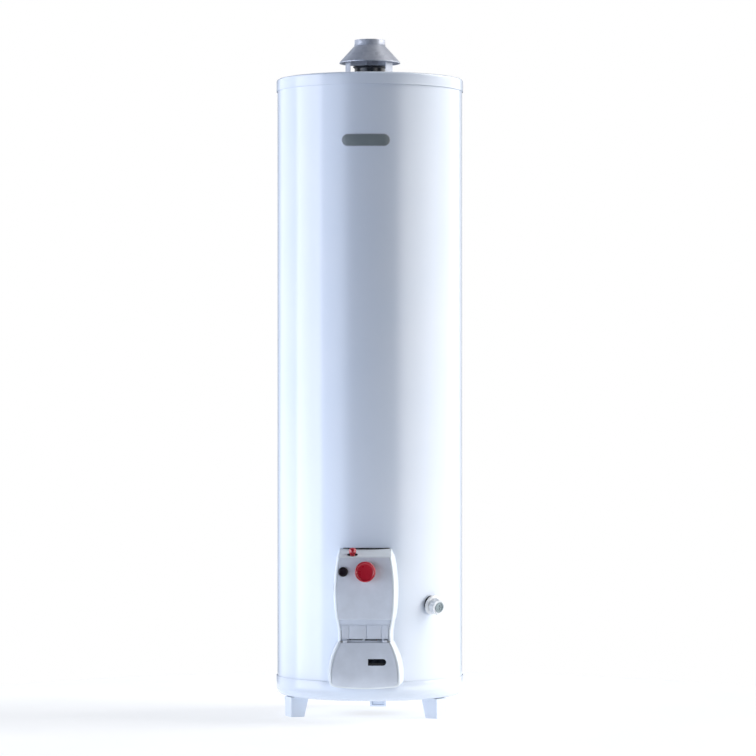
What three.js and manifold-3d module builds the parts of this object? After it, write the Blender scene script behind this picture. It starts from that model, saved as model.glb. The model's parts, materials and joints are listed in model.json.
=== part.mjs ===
// Floor-standing gas storage water heater: a glass-lined tank with a central flue, wrapped in
// insulation and a painted jacket, standing on three feet, with a gas control at the front.
// Millimetres, +Z up, the front faces -Y. Every piece is laid out from the tank's axis and the
// floor; the group is then moved so that its origin is the bottom centre of the whole object.
import * as THREE from 'three';
import { mergeVertices } from 'three/addons/utils/BufferGeometryUtils.js';
import Module from 'manifold-3d';

const wasm = await Module();
wasm.setup();

// ---------------------------------------------------------------- driving dimensions
const GAP = 0.3; // air left between pieces that touch

const BODY_RADIUS = 230; // outside of the painted jacket
const JACKET_SHEET = 1.2;
const JACKET_BOTTOM = 90;
const JACKET_TOP = 1571;

const LID_RADIUS = 232.4;
const LID_TOP = 1578;
const LID_SKIRT_BOTTOM = 1548;
const LID_SHEET = 1.6;
const LID_EDGE = 6;

const PAN_RADIUS = 232.4;
const PAN_BOTTOM = 49;
const PAN_RIM_TOP = 97;
const PAN_CORNER = 27;
const PAN_SHEET = 2;
const PAN_AIR_HOLE = 70;

const TANK_RADIUS = 202;
const TANK_WALL = 3;
const TANK_TOP = 1500;
const HEAD_RISE = 28;
const TOP_HEAD_EDGE = 1486;
const BOTTOM_HEAD_EDGE = 216;

const FLUE_RADIUS = 38;
const FLUE_WALL = 2.5;
const FLUE_BOTTOM = 232;
const FLUE_TOP = 1612;
const FLUE_RIM = 42;

const HOOD_BRIM_RADIUS = 75.7;
const HOOD_BRIM_Z = 1620;
const HOOD_COLLAR_Z = 1664;
const HOOD_TOP = 1678;
const HOOD_SHEET = 1.6;
const HOOD_CONE_DROP = 2.4; // the cone's sheet measured straight down
const STRAP_RADIUS = 60;
const STRAP_WIDTH = 28;

const LEG_WIDTH = 44;
const LEG_OUTER = 220;
const LEG_DEPTH_TOP = 46;
const LEG_DEPTH_SOLE = 34;
const LEG_AZIMUTHS = { left: -64, right: 56, rear: 176 };

const PIPE_RADIUS = 13.3;
const PIPE_BORE = 10.6;
const PIPE_TOP = 1600;
const PIPE_X = 100;
const PIPE_Y = 90;
const ANODE_Y = 140;

const COVER_TOP = 404; // front edge of the cover's sloping top
const COVER_TOP_REAR = 421;
const COVER_BOTTOM = 82;
const COVER_WALL = 2.6;
const COVER_FRAME = 5.5; // white border around the grey panels, at the front
const COVER_DRAFT = 6; // how much wider the cover is at its back
const BELLY_TURN = 4; // radius of the curl that ends the upper face above the strip
const STRIP_TOP = 251;
const FIELD_TOP = 238;
const STRIP_BOTTOM = 204;
const STRIP_REACH = 271;
const STRIP_HALF = 57;
const STRIP_LAP = 3.5; // how far the strip reaches down behind the door
const DOOR_TOP = 196.5;
const DOOR_WIDEST = 118;

const KNOB_RADIUS = 25;
const KNOB_X = 2;
const KNOB_Z = 368;
const KNOB_FRONT = 311;
const KNOB_BACK = 291.2;

const IGNITER_X = -52;
const IGNITER_Z = 367;
const IGNITER_RADIUS = 11.2;
const PILOT_X = -30;
const PILOT_Y = -270;
const PILOT_TOP = 424.5;

const HINGE_REACH = 275;
const HINGE_Z = 198.6;
const SIGHT = { left: 8, right: 52, low: 141.5, high: 157.5 };

const DRAIN_Z = 282;
const DRAIN_AZIMUTH = 43;
const DRAIN_TILT = 11;

const ROUND = 48; // sides of the body's big cylinders
const MEDIUM = 24;
const SMALL = 12;

// ---------------------------------------------------------------- finishes
const finish = (color, roughness, metalness) =>
  new THREE.MeshStandardMaterial({ color, roughness, metalness });

const WHITE_ENAMEL = finish('#e9edf5', 0.22, 0.0);
const WHITE_PLASTIC = finish('#e8edf4', 0.4, 0.0);
const GREY_PLASTIC = finish('#a3abb9', 0.45, 0.0);
const RED_PLASTIC = finish('#b8202c', 0.4, 0.0);
const BLACK_PLASTIC = finish('#141014', 0.4, 0.0);
const DARK_PLASTIC = finish('#6d7a80', 0.5, 0.0);
const RUBBER = finish('#17181a', 0.85, 0.0);
const GALVANISED = finish('#a2a7b0', 0.38, 0.9);
const STEEL = finish('#8f949b', 0.45, 0.9);
const DARK_STEEL = finish('#3c4047', 0.6, 0.7);
const CAST_ALLOY = finish('#9a9da3', 0.5, 0.8);
const BRASS = finish('#b3904a', 0.35, 0.9);
const COPPER = finish('#b0704a', 0.35, 0.9);
const CERAMIC = finish('#e7e2d6', 0.4, 0.0);
const FOAM = finish('#d9c48a', 0.95, 0.0);
const GLASS = finish('#0b0d10', 0.1, 0.0);

// ---------------------------------------------------------------- geometry helpers
const radians = THREE.MathUtils.degToRad;
const at = (x, y, z) => new THREE.Vector3(x, y, z);
const ring2 = (points) => points.map(([x, y]) => new THREE.Vector2(x, y));

/** Positions merged, slivers dropped and faces turned outward, so the mesh is one closed body. */
function closed(geometry) {
  const bare = geometry.clone();
  bare.deleteAttribute('normal');
  bare.deleteAttribute('uv');
  const merged = mergeVertices(bare, 1e-4);
  const index = merged.index.array;
  const kept = [];
  for (let i = 0; i < index.length; i += 3) {
    const [a, b, c] = [index[i], index[i + 1], index[i + 2]];
    if (a !== b && b !== c && c !== a) kept.push(a, b, c);
  }
  merged.setIndex(kept);
  if (signedVolume(merged) < 0) {
    for (let i = 0; i < kept.length; i += 3) [kept[i + 1], kept[i + 2]] = [kept[i + 2], kept[i + 1]];
    merged.setIndex(kept);
  }
  return merged;
}

function signedVolume(geometry) {
  const position = geometry.attributes.position;
  const index = geometry.index.array;
  const [a, b, c] = [at(0, 0, 0), at(0, 0, 0), at(0, 0, 0)];
  let volume = 0;
  for (let i = 0; i < index.length; i += 3) {
    a.fromBufferAttribute(position, index[i]);
    b.fromBufferAttribute(position, index[i + 1]);
    c.fromBufferAttribute(position, index[i + 2]);
    volume += a.dot(b.cross(c)) / 6;
  }
  return volume;
}

function toSolid(geometry) {
  const body = closed(geometry);
  return new wasm.Manifold(
    new wasm.Mesh({
      numProp: 3,
      vertProperties: new Float32Array(body.attributes.position.array),
      triVerts: new Uint32Array(body.index.array),
    }),
  );
}

function toGeometry(solid) {
  const mesh = solid.getMesh();
  const geometry = new THREE.BufferGeometry();
  geometry.setAttribute('position', new THREE.BufferAttribute(new Float32Array(mesh.vertProperties), 3));
  geometry.setIndex(Array.from(mesh.triVerts));
  return geometry;
}

const cut = (geometry, ...tools) =>
  toGeometry(tools.reduce((solid, tool) => solid.subtract(toSolid(tool)), toSolid(geometry)));
const join = (geometry, ...others) =>
  toGeometry(others.reduce((solid, other) => solid.add(toSolid(other)), toSolid(geometry)));
const common = (geometry, other) => toGeometry(toSolid(geometry).intersect(toSolid(other)));

/** A closed [radius, height] outline turned about the Z axis. */
function turned(profile, sides = MEDIUM) {
  const onAxis = profile[0][0] === 0 && profile[profile.length - 1][0] === 0;
  const points = onAxis ? profile : [...profile, profile[0]];
  return closed(new THREE.LatheGeometry(ring2(points), sides).rotateX(Math.PI / 2));
}

const rod = (radius, low, high, sides = SMALL) =>
  turned([[0, low], [radius, low], [radius, high], [0, high]], sides);

const pipe = (outer, inner, low, high, sides = MEDIUM) =>
  turned([[inner, low], [outer, low], [outer, high], [inner, high]], sides);

const hexagon = (acrossFlats, low, high) => rod(acrossFlats / Math.sqrt(3), low, high, 6);

const block = (x0, x1, y0, y1, z0, z1) =>
  closed(new THREE.BoxGeometry(x1 - x0, y1 - y0, z1 - z0).translate(
    (x0 + x1) / 2,
    (y0 + y1) / 2,
    (z0 + z1) / 2,
  ));

/** A front-view outline of [x, z] points, carried from y = back forward to y = front. */
function frontPrism(outline, front, back) {
  const shape = outline instanceof THREE.Shape ? outline : new THREE.Shape(ring2(outline));
  const body = new THREE.ExtrudeGeometry(shape, {
    depth: back - front,
    bevelEnabled: false,
    curveSegments: 6,
  });
  return closed(body.rotateX(Math.PI / 2).translate(0, back, 0));
}

/** A side-view outline of [y, z] points, carried from x = low to x = high. */
function sidePrism(outline, low, high) {
  const body = new THREE.ExtrudeGeometry(new THREE.Shape(ring2(outline)), {
    depth: high - low,
    bevelEnabled: false,
  });
  const sideways = new THREE.Matrix4().makeBasis(at(0, 1, 0), at(0, 0, 1), at(1, 0, 0));
  return closed(body.applyMatrix4(sideways).translate(low, 0, 0));
}

/** Closed rings of equal length joined one to the next, with a flat cap at each end. */
function loft(rings) {
  const count = rings[0].length;
  const positions = rings.flat().flatMap((point) => [point.x, point.y, point.z]);
  const index = [];
  for (let r = 0; r + 1 < rings.length; r += 1) {
    for (let i = 0; i < count; i += 1) {
      const [a, b] = [r * count + i, r * count + ((i + 1) % count)];
      index.push(a, b, b + count, a, b + count, a + count);
    }
  }
  const upright = rings[0].every((point) => point.y === rings[0][0].y);
  const drawn = rings[0].map((point) => new THREE.Vector2(point.x, upright ? point.z : point.y));
  const clockwise = THREE.ShapeUtils.isClockWise(drawn);
  const last = (rings.length - 1) * count;
  for (const face of THREE.ShapeUtils.triangulateShape(drawn, [])) {
    const [a, b, c] = clockwise ? face.slice().reverse() : face;
    index.push(b, a, c, last + a, last + b, last + c);
  }
  const geometry = new THREE.BufferGeometry();
  geometry.setAttribute('position', new THREE.Float32BufferAttribute(positions, 3));
  geometry.setIndex(index);
  return closed(geometry);
}

/** A round wire or tube through hand-placed points. */
function wire(points, radius, steps = 16, sides = 8) {
  const circle = new THREE.Shape();
  circle.absarc(0, 0, radius, 0, Math.PI * 2);
  const path = new THREE.CatmullRomCurve3(points.map(([x, y, z]) => at(x, y, z)), false, 'centripetal');
  return closed(new THREE.ExtrudeGeometry(circle, { extrudePath: path, steps, curveSegments: sides / 2 }));
}

const forward = (geometry) => geometry.rotateX(Math.PI / 2); // a Z-axis body made to point at -Y
const moved = (geometry, x, y, z) => geometry.translate(x, y, z);
const swung = (geometry, azimuth) => geometry.rotateZ(radians(azimuth));
const arc = (centreX, centreY, radius, from, to, steps) =>
  Array.from({ length: steps + 1 }, (_, i) => {
    const angle = radians(from + ((to - from) * i) / steps);
    return [centreX + radius * Math.cos(angle), centreY + radius * Math.sin(angle)];
  });
const samples = (from, to, steps) =>
  Array.from({ length: steps + 1 }, (_, i) => from + ((to - from) * i) / steps);

// ---------------------------------------------------------------- the assembly
const heater = new THREE.Group();

function add(name, geometry, material) {
  const mesh = new THREE.Mesh(geometry, material);
  mesh.name = name;
  heater.add(mesh);
}

// ---------------------------------------------------------------- base pan and feet
function basePan() {
  const corner = PAN_RADIUS - PAN_CORNER;
  const innerCorner = PAN_CORNER - PAN_SHEET;
  const pan = turned([
    [PAN_AIR_HOLE, PAN_BOTTOM],
    ...arc(corner, PAN_BOTTOM + PAN_CORNER, PAN_CORNER, -90, 0, 3),
    [PAN_RADIUS, PAN_RIM_TOP],
    [PAN_RADIUS - PAN_SHEET, PAN_RIM_TOP],
    ...arc(corner, PAN_BOTTOM + PAN_CORNER, innerCorner, 0, -90, 3),
    [PAN_AIR_HOLE, PAN_BOTTOM + PAN_SHEET],
  ], ROUND);
  const holes = Object.values(LEG_AZIMUTHS).map((azimuth) => legBoltAt(rod(4.6, 40, 60), azimuth));
  return cut(pan, ...holes);
}

const LEG_TOP = PAN_BOTTOM - GAP;
const LEG_PLATE = 4;
const LEG_BOLT_Y = 32 - LEG_OUTER;
const legBoltAt = (geometry, azimuth) => swung(moved(geometry, 0, LEG_BOLT_Y, 0), azimuth);

/** A pressed foot: upright outside, tapering on its inner side, and open toward the tank's axis. */
function foot(azimuth) {
  const half = LEG_WIDTH / 2;
  const rectangle = (x, outer, depth, z) => [
    at(-x, -outer, z),
    at(x, -outer, z),
    at(x, depth - outer, z),
    at(-x, depth - outer, z),
  ];
  const body = loft([
    rectangle(half - 2, LEG_OUTER - 1, LEG_DEPTH_SOLE, 0),
    rectangle(half, LEG_OUTER, LEG_DEPTH_TOP, LEG_TOP),
  ]);
  const hollow = loft([
    rectangle(half - 7, LEG_OUTER - 5, LEG_DEPTH_TOP + 20, LEG_PLATE),
    rectangle(half - 4, LEG_OUTER - 4, LEG_DEPTH_TOP + 20, LEG_TOP - LEG_PLATE),
  ]);
  const boltHole = moved(rod(4.6, LEG_TOP - 10, LEG_TOP + 10), 0, LEG_BOLT_Y, 0);
  return swung(cut(body, hollow, boltHole), azimuth);
}

function footBolt(azimuth) {
  const head = hexagon(13, LEG_TOP - LEG_PLATE - GAP - 5.5, LEG_TOP - LEG_PLATE - GAP);
  const shank = rod(4, LEG_TOP - LEG_PLATE - GAP - 1, PAN_BOTTOM + PAN_SHEET + 4);
  return legBoltAt(join(head, shank), azimuth);
}

// ---------------------------------------------------------------- jacket, lid, insulation
/** The drain's axis leaves the body square to its side and leans a little downward. */
function alongDrain(geometry) {
  forward(geometry);
  geometry.rotateX(radians(DRAIN_TILT));
  return swung(moved(geometry, 0, -BODY_RADIUS, DRAIN_Z), DRAIN_AZIMUTH);
}

const SERVICE_HALF = 60;
const SERVICE_LOW = 104;
const SERVICE_HIGH = 398;
const serviceOpening = (half, low, high) => block(-half, half, -BODY_RADIUS - 20, -100, low, high);

function jacket() {
  const wall = pipe(BODY_RADIUS, BODY_RADIUS - JACKET_SHEET, JACKET_BOTTOM, JACKET_TOP, ROUND);
  return cut(wall, serviceOpening(SERVICE_HALF, SERVICE_LOW, SERVICE_HIGH), alongDrain(rod(14, -20, 20)));
}

const topHoles = (radius, low, high) => [
  moved(rod(radius, low, high), PIPE_X, PIPE_Y, 0),
  moved(rod(radius, low, high), -PIPE_X, PIPE_Y, 0),
  moved(rod(radius, low, high), 0, ANODE_Y, 0),
];

const LID_SCREW_AZIMUTHS = [110, 180, 250];
const LID_SCREW_Z = 1562;
const LID_SCREW_HEAD = 2.6;
const onSkirt = (geometry, azimuth) =>
  swung(moved(forward(geometry), 0, -LID_RADIUS, LID_SCREW_Z), azimuth);

function lid() {
  const hole = FLUE_RADIUS + 1.2;
  const shell = turned([
    [hole, LID_TOP - LID_SHEET],
    [LID_RADIUS - LID_EDGE, LID_TOP - LID_SHEET],
    [LID_RADIUS - LID_SHEET, LID_TOP - LID_EDGE],
    [LID_RADIUS - LID_SHEET, LID_SKIRT_BOTTOM],
    [LID_RADIUS, LID_SKIRT_BOTTOM],
    ...arc(LID_RADIUS - LID_EDGE, LID_TOP - LID_EDGE, LID_EDGE, 0, 90, 3),
    [hole, LID_TOP],
  ], ROUND);
  const screwHoles = LID_SCREW_AZIMUTHS.map((azimuth) => onSkirt(rod(2.4, -8, 4), azimuth));
  return cut(shell, ...topHoles(16, LID_TOP - 10, LID_TOP + 10), ...screwHoles);
}

/** A pan-head screw whose shank stops short of the jacket. */
const lidScrew = (azimuth) => onSkirt(join(rod(4.5, GAP, LID_SCREW_HEAD), rod(1.9, -1.2, 1)), azimuth);

function insulation() {
  const [outer, inner] = [BODY_RADIUS - JACKET_SHEET - 0.5, TANK_RADIUS + 0.6];
  const blanket = turned([
    [inner, 110],
    [outer, 110],
    [outer, JACKET_TOP],
    [46, JACKET_TOP],
    [46, 1526],
    [inner, 1526],
  ], ROUND);
  const recess = serviceOpening(SERVICE_HALF + 4, 100, SERVICE_HIGH + 4);
  return cut(blanket, recess, alongDrain(rod(16, -60, 20)), ...topHoles(17, 1500, 1600));
}

function badge() {
  const [width, height, middle] = [118, 30, 1412];
  const plate = pipe(BODY_RADIUS + 1.6, BODY_RADIUS + GAP, middle - height, middle + height, ROUND);
  const outline = [
    ...arc(width / 2 - height / 2, middle, height / 2, -90, 90, 8),
    ...arc(height / 2 - width / 2, middle, height / 2, 90, 270, 8),
  ];
  return common(plate, frontPrism(outline, -BODY_RADIUS - 20, -BODY_RADIUS / 2));
}

// ---------------------------------------------------------------- tank, flue and fittings
function tankShell() {
  const wall = pipe(TANK_RADIUS, TANK_RADIUS - TANK_WALL, PAN_BOTTOM + PAN_SHEET + GAP, TANK_TOP, ROUND);
  const burnerOpening = serviceOpening(45, 70, 205);
  const probeHole = moved(forward(rod(9, 0, 100)), KNOB_X, -150, 350);
  return cut(wall, burnerOpening, probeHole, alongDrain(rod(14, -60, 0)));
}

/** A dished head whose edge fits inside the shell, with a hole for the flue. */
function tankHead(edge) {
  const radius = TANK_RADIUS - TANK_WALL - 0.6;
  const hole = FLUE_RADIUS + 0.8;
  const riseAt = (r) => HEAD_RISE * Math.sqrt(1 - (r / radius) ** 2);
  const dome = (lift) => samples(radius, hole, 4).map((r) => [r, edge + lift + riseAt(r)]);
  return turned([...dome(3), ...dome(0).reverse()]);
}

function flueTube() {
  const inner = FLUE_RADIUS - FLUE_WALL;
  return turned([
    [inner, FLUE_BOTTOM],
    [FLUE_RADIUS, FLUE_BOTTOM],
    [FLUE_RADIUS, FLUE_TOP - 5],
    [FLUE_RIM, FLUE_TOP - 2],
    [FLUE_RIM, FLUE_TOP],
    [inner, FLUE_TOP],
  ]);
}

/** A steel strip bent to and fro up the flue, which slows and stirs the flue gas. */
function flueBaffle() {
  const [halfWidth, swing, sheet, low, high, bends] = [26, 18, 2, 262, FLUE_TOP - 14, 20];
  const side = (shift) => samples(low, high, bends).map((z, i) => [(i % 2 ? swing : -swing) + shift, z]);
  return sidePrism([...side(0), ...side(sheet).reverse()], -halfWidth, halfWidth);
}

const pipeNipple = () =>
  pipe(PIPE_RADIUS, PIPE_BORE, TOP_HEAD_EDGE + HEAD_RISE + 4, PIPE_TOP);

const dipTube = () => pipe(9.6, 7.6, 300, PIPE_TOP - 8);

function anodePlug() {
  const seat = LID_TOP + 1;
  return join(hexagon(27, seat, seat + 11), rod(12, TOP_HEAD_EDGE + HEAD_RISE + 4, seat + 2));
}

const anodeRod = () => rod(9, 700, TOP_HEAD_EDGE + HEAD_RISE - 10);

// ---------------------------------------------------------------- draft hood
function draftHood() {
  const collar = FLUE_RADIUS;
  return turned([
    [HOOD_BRIM_RADIUS - HOOD_SHEET, HOOD_BRIM_Z],
    [HOOD_BRIM_RADIUS, HOOD_BRIM_Z],
    [HOOD_BRIM_RADIUS, HOOD_BRIM_Z + 2.5],
    [collar, HOOD_COLLAR_Z],
    [collar, HOOD_TOP],
    [collar - HOOD_SHEET, HOOD_TOP],
    [collar - HOOD_SHEET, HOOD_COLLAR_Z - HOOD_CONE_DROP],
  ], 36);
}

/** A strap with a foot on the lid, an upright, and a tongue lying under the hood's cone. */
function hoodStrap(azimuth) {
  const sheet = 1.6;
  const foot = LID_TOP + GAP;
  const edge = (radius) => Math.hypot(radius, STRAP_WIDTH / 2);
  const rise = (HOOD_COLLAR_Z - HOOD_CONE_DROP - HOOD_BRIM_Z) / (HOOD_BRIM_RADIUS - FLUE_RADIUS);
  const coneUnder = (radius) => HOOD_BRIM_Z - 0.7 + (HOOD_BRIM_RADIUS - HOOD_SHEET - edge(radius)) * rise;
  const [outer, inner, tip] = [STRAP_RADIUS, STRAP_RADIUS - sheet, STRAP_RADIUS - 13];
  const outline = [
    [-outer - 14, foot],
    [-inner, foot],
    [-inner, coneUnder(inner) - sheet * 1.5],
    [-tip, coneUnder(tip) - sheet * 1.5],
    [-tip, coneUnder(tip)],
    [-outer, coneUnder(outer)],
    [-outer, foot + sheet],
    [-outer - 14, foot + sheet],
  ];
  return swung(sidePrism(outline, -STRAP_WIDTH / 2, STRAP_WIDTH / 2), azimuth);
}

// ---------------------------------------------------------------- burner and its controls
const BURNER_Z = 128;
const GAS_Z = 88;

function burnerHead() {
  return turned([
    [0, BURNER_Z + 10],
    [11, BURNER_Z + 10],
    [11, 106],
    [16, 106],
    [16, BURNER_Z - 4],
    [52, BURNER_Z],
    [62, BURNER_Z + 5],
    [62, BURNER_Z + 15],
    [54, BURNER_Z + 20],
    [0, BURNER_Z + 22],
  ]);
}

function airShutter() {
  const ring = pipe(19, 16.6, 107, 121, 24);
  const window = block(-5, 5, -30, 0, 110, 118);
  return cut(ring, window, swung(window.clone(), 120), swung(window.clone(), 240));
}

function burnerOrifice() {
  const inlet = moved(forward(hexagon(17, 0, 24)), 0, 0, GAS_Z);
  return join(inlet, rod(8, GAS_Z - 8, 100), rod(4, 99, 104));
}

const burnerTube = () => wire([
  [-12, -222, 304.6],
  [-12, -222, 230],
  [-4, -217, 150],
  [0, -216, 112],
  [0, -205, 93],
  [0, -180, GAS_Z],
  [0, -100, GAS_Z],
  [0, -25, GAS_Z],
], 5, 22, 8);

const pilotBurner = () => block(14, 30, -80, -68, 132, 150);

const pilotTube = () => wire([
  [12, -222, 304.6],
  [13, -219, 220],
  [17, -216, 140],
  [20, -205, 121],
  [21, -150, 119],
  [22, -90, 119],
  [22, -75, 123],
  [22, -74, 131.6],
], 1.8, 20, 6);

const thermocouple = () => wire([
  [26, -222, 304.6],
  [26, -219, 220],
  [27, -216, 140],
  [29, -205, 121],
  [33, -150, 119],
  [36, -90, 119],
  [36, -76, 124],
  [36, -74, 156],
], 1.7, 22, 6);

const SPARK_X = 4;
const sparkElectrode = () => moved(join(rod(3.5, 128, 146), rod(1, 145, 157, 8)), SPARK_X, -74, 0);

const igniterLead = () => wire([
  [IGNITER_X, -236.6, IGNITER_Z],
  [-52, -229, 365],
  [-50, -219, 345],
  [-49, -219, 300],
  [-44, -218, 220],
  [-18, -215, 145],
  [-10, -204, 121],
  [-4, -150, 119],
  [SPARK_X, -90, 118],
  [SPARK_X, -76, 120],
  [SPARK_X, -74, 127.6],
], 1.8, 26, 6);

/** The inner plate that closes the burner opening in the tank's skirt. */
function innerDoor() {
  const plate = block(-56, 56, -205, -203.6, 64, 214);
  const pipeNotch = block(-9, 9, -230, -180, 50, 104);
  const leadSlot = block(-20, 40, -230, -180, 112, 131);
  const peephole = block(8, 50, -230, -180, 143, 158);
  const screwHoles = [-50, 50].map((x) => moved(forward(rod(2.4, 180, 230)), x, 0, 190));
  return cut(plate, pipeNotch, leadSlot, peephole, ...screwHoles);
}

const innerDoorScrew = (x) =>
  moved(forward(join(rod(4.5, 205.3, 208), rod(2, 203, 206))), x, 0, 190);

// ---------------------------------------------------------------- gas control
const VALVE_FRONT = 262;

function gasValve() {
  const outline = new THREE.Shape(ring2([
    [-34, 305], [40, 305], [46, 313], [46, 384], [38, 392], [-32, 392], [-40, 384], [-40, 313],
  ]));
  const body = frontPrism(outline, -VALVE_FRONT, -212);
  const knobBoss = moved(forward(rod(17, VALVE_FRONT - 1, 276, 24)), KNOB_X, 0, KNOB_Z);
  const spud = moved(forward(hexagon(30, 207, 213)), KNOB_X, 0, 350);
  const shaftBore = moved(forward(rod(4.6, 255, 290)), KNOB_X, 0, KNOB_Z);
  const pilotBoss = block(PILOT_X - 7, PILOT_X + 7, PILOT_Y - 6, 1 - VALVE_FRONT, 372.5, 392);
  const pilotBore = moved(rod(3.1, 374, 400), PILOT_X, PILOT_Y, 0);
  const inletBore = rod(7, 30, 60).rotateY(-Math.PI / 2);
  return cut(join(body, knobBoss, spud, pilotBoss), shaftBore, pilotBore, moved(inletBore, 0, -236, 328));
}

function gasInlet() {
  const nipple = pipe(10.6, 7.4, 40.4, 76, 24);
  return moved(nipple.rotateY(-Math.PI / 2), 0, -236, 328);
}

const thermostatProbe = () => moved(forward(rod(6, 62, 206.6)), KNOB_X, 0, 350);

function igniterBracket() {
  const sheet = [-264, -VALVE_FRONT - GAP];
  const plate = join(block(-64, -41, ...sheet, 356, 382), block(-64, KNOB_X - 17.5, ...sheet, 352, 372));
  return cut(plate, moved(forward(rod(9.4, 250, 280)), IGNITER_X, 0, IGNITER_Z));
}

const igniterBody = () => moved(
  cut(forward(rod(9, 238, 271)), forward(rod(4.6, 250, 280))),
  IGNITER_X,
  0,
  IGNITER_Z,
);

const igniterButton = () => moved(
  forward(turned([
    [0, 262],
    [4, 262],
    [4, 279],
    [IGNITER_RADIUS, 279],
    [IGNITER_RADIUS, 293.5],
    [IGNITER_RADIUS - 1.8, 295],
    [0, 294],
  ])),
  IGNITER_X,
  0,
  IGNITER_Z,
);

/** A dished knob with a shallow finger grip around its rim, on a shaft that enters the valve. */
function controlKnob() {
  return moved(forward(turned([
    [0, 266],
    [4, 266],
    [4, KNOB_BACK],
    [KNOB_RADIUS, KNOB_BACK],
    [KNOB_RADIUS - 0.8, KNOB_FRONT - 2],
    [KNOB_RADIUS - 3, KNOB_FRONT],
    [KNOB_RADIUS - 6, KNOB_FRONT - 1],
    [0, KNOB_FRONT - 3.5],
  ])), KNOB_X, 0, KNOB_Z);
}

/** The pilot button stands in a scalloped pocket in the cover's top, over the valve's plunger. */
function pilotButton() {
  const low = PILOT_TOP - 22.5;
  const cap = turned([
    [0, low],
    [6.4, low],
    [6.4, PILOT_TOP - 4],
    [4.5, PILOT_TOP - 0.5],
    [0, PILOT_TOP],
  ], 20);
  return moved(join(cap, rod(2.5, low - 21, low + 1)), PILOT_X, PILOT_Y, 0);
}

// ---------------------------------------------------------------- front cover
const BELLY_LOW = STRIP_TOP + BELLY_TURN;

/** Distance of the cover's face from the tank's axis, at height z. */
function faceReach(z) {
  const belly = 290 - 0.00116 * (Math.max(z, BELLY_LOW) - 332) ** 2;
  if (z > BELLY_LOW) return belly;
  if (z > STRIP_TOP) return belly - BELLY_TURN + Math.sqrt(BELLY_TURN ** 2 - (BELLY_LOW - z) ** 2);
  if (z > DOOR_TOP) return STRIP_REACH;
  if (z > DOOR_WIDEST) return 290 - 0.00214 * (z - DOOR_WIDEST) ** 2;
  return 262 + 28 * Math.sqrt(1 - ((DOOR_WIDEST - z) / 40) ** 2);
}

/** Half the width of the grey panels at height z: a bell above, a waist, and a flared door. */
function panelHalf(z) {
  if (z > DOOR_TOP) return Math.max(57.6, 67.4 - 0.00112 * (z - 318) ** 2);
  return 80 - 0.00355 * (Math.max(z, DOOR_WIDEST) - DOOR_WIDEST) ** 2;
}

/** The cover's front outline, grown outward by an amount, as [x, z] points. */
function coverOutline(grow) {
  const top = COVER_TOP_REAR + 6;
  const corner = 13 + grow;
  const foot = COVER_BOTTOM + COVER_FRAME - grow;
  const half = panelHalf(COVER_BOTTOM) + grow;
  const heights = [...samples(top, STRIP_BOTTOM, 8), ...samples(DOOR_TOP, foot + corner + 6, 6)];
  const right = heights.map((z) => [panelHalf(z) + grow, z]);
  const bend = arc(half - corner, foot + 6 + corner, corner, -12, -78, 3);
  const left = [...right, ...bend].map(([x, z]) => [-x, z]).reverse();
  return [...right, ...bend, [0, foot], ...left];
}

/** The side view of the cover between two insets of its face, as [y, z] points. */
function coverSide(inset, back) {
  const face = [
    ...samples(COVER_TOP, BELLY_LOW, 8),
    ...samples(BELLY_LOW - 1.3, STRIP_TOP + 0.01, 2),
    STRIP_TOP,
    DOOR_TOP + 0.01,
    ...samples(DOOR_TOP, DOOR_WIDEST, 5),
    ...samples(DOOR_WIDEST - 6, COVER_BOTTOM, 5),
  ].map((z) => [inset - faceReach(z), z]);
  const rise = (COVER_TOP_REAR - COVER_TOP) / 60;
  const topAt = (y) => COVER_TOP - inset + (y + faceReach(COVER_TOP)) * rise;
  face[0] = [inset - faceReach(COVER_TOP), topAt(inset - faceReach(COVER_TOP))];
  return [...face, [back, COVER_BOTTOM], [back, topAt(back)]];
}

function coverBlank(grow, inset) {
  const ringAt = (extra, y) => coverOutline(grow + extra).map(([x, z]) => at(x, y, z));
  const outline = loft([ringAt(0, -300), ringAt(COVER_DRAFT, -150)]);
  return common(outline, sidePrism(coverSide(inset, -160), -130, 130));
}

const bodyClearance = join(
  rod(BODY_RADIUS + GAP, 60, 500, ROUND),
  rod(PAN_RADIUS + GAP, 40, PAN_RIM_TOP + GAP, ROUND),
);
const panelPrism = (grow, low, high, back = -245) =>
  common(frontPrism(coverOutline(grow), -320, back), block(-130, 130, -330, back + 10, low, high));

const coverShell = cut(
  coverBlank(COVER_FRAME, 0),
  coverBlank(COVER_FRAME - COVER_WALL, COVER_WALL),
  bodyClearance,
);

const FRAME_TOP_BORDER = 3;
const upperPanel = (grow) => panelPrism(grow, STRIP_TOP - grow, COVER_TOP - FRAME_TOP_BORDER + grow);
const stripPanel = (grow) => panelPrism(grow, STRIP_BOTTOM - grow, STRIP_TOP + grow);
const doorPanel = (grow) => panelPrism(grow, 0, DOOR_TOP + grow);

function coverFrame() {
  const pilotPocket = moved(rod(13, COVER_TOP - 1, COVER_TOP + 40, 20), PILOT_X, PILOT_Y, 0);
  const pilotHole = moved(rod(7.2, COVER_TOP - 14, COVER_TOP + 5, 20), PILOT_X, PILOT_Y, 0);
  const pocketCup = moved(rod(15, COVER_TOP - 4, COVER_TOP + 12, 20), PILOT_X, PILOT_Y, 0);
  const cup = common(pocketCup, coverBlank(COVER_FRAME, 0));
  const inletCut = moved(rod(13, 40, 120, 24).rotateY(-Math.PI / 2), 0, -236, 328);
  const pinHoles = rod(1.9, -90, 90, 12).rotateY(Math.PI / 2);
  const slotGap = panelPrism(0, DOOR_TOP, STRIP_BOTTOM);
  const closedTop = join(coverShell, cup);
  return cut(
    closedTop,
    upperPanel(0),
    stripPanel(0),
    doorPanel(0),
    slotGap,
    pilotPocket,
    pilotHole,
    inletCut,
    moved(pinHoles, 0, -HINGE_REACH, HINGE_Z),
  );
}

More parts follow.
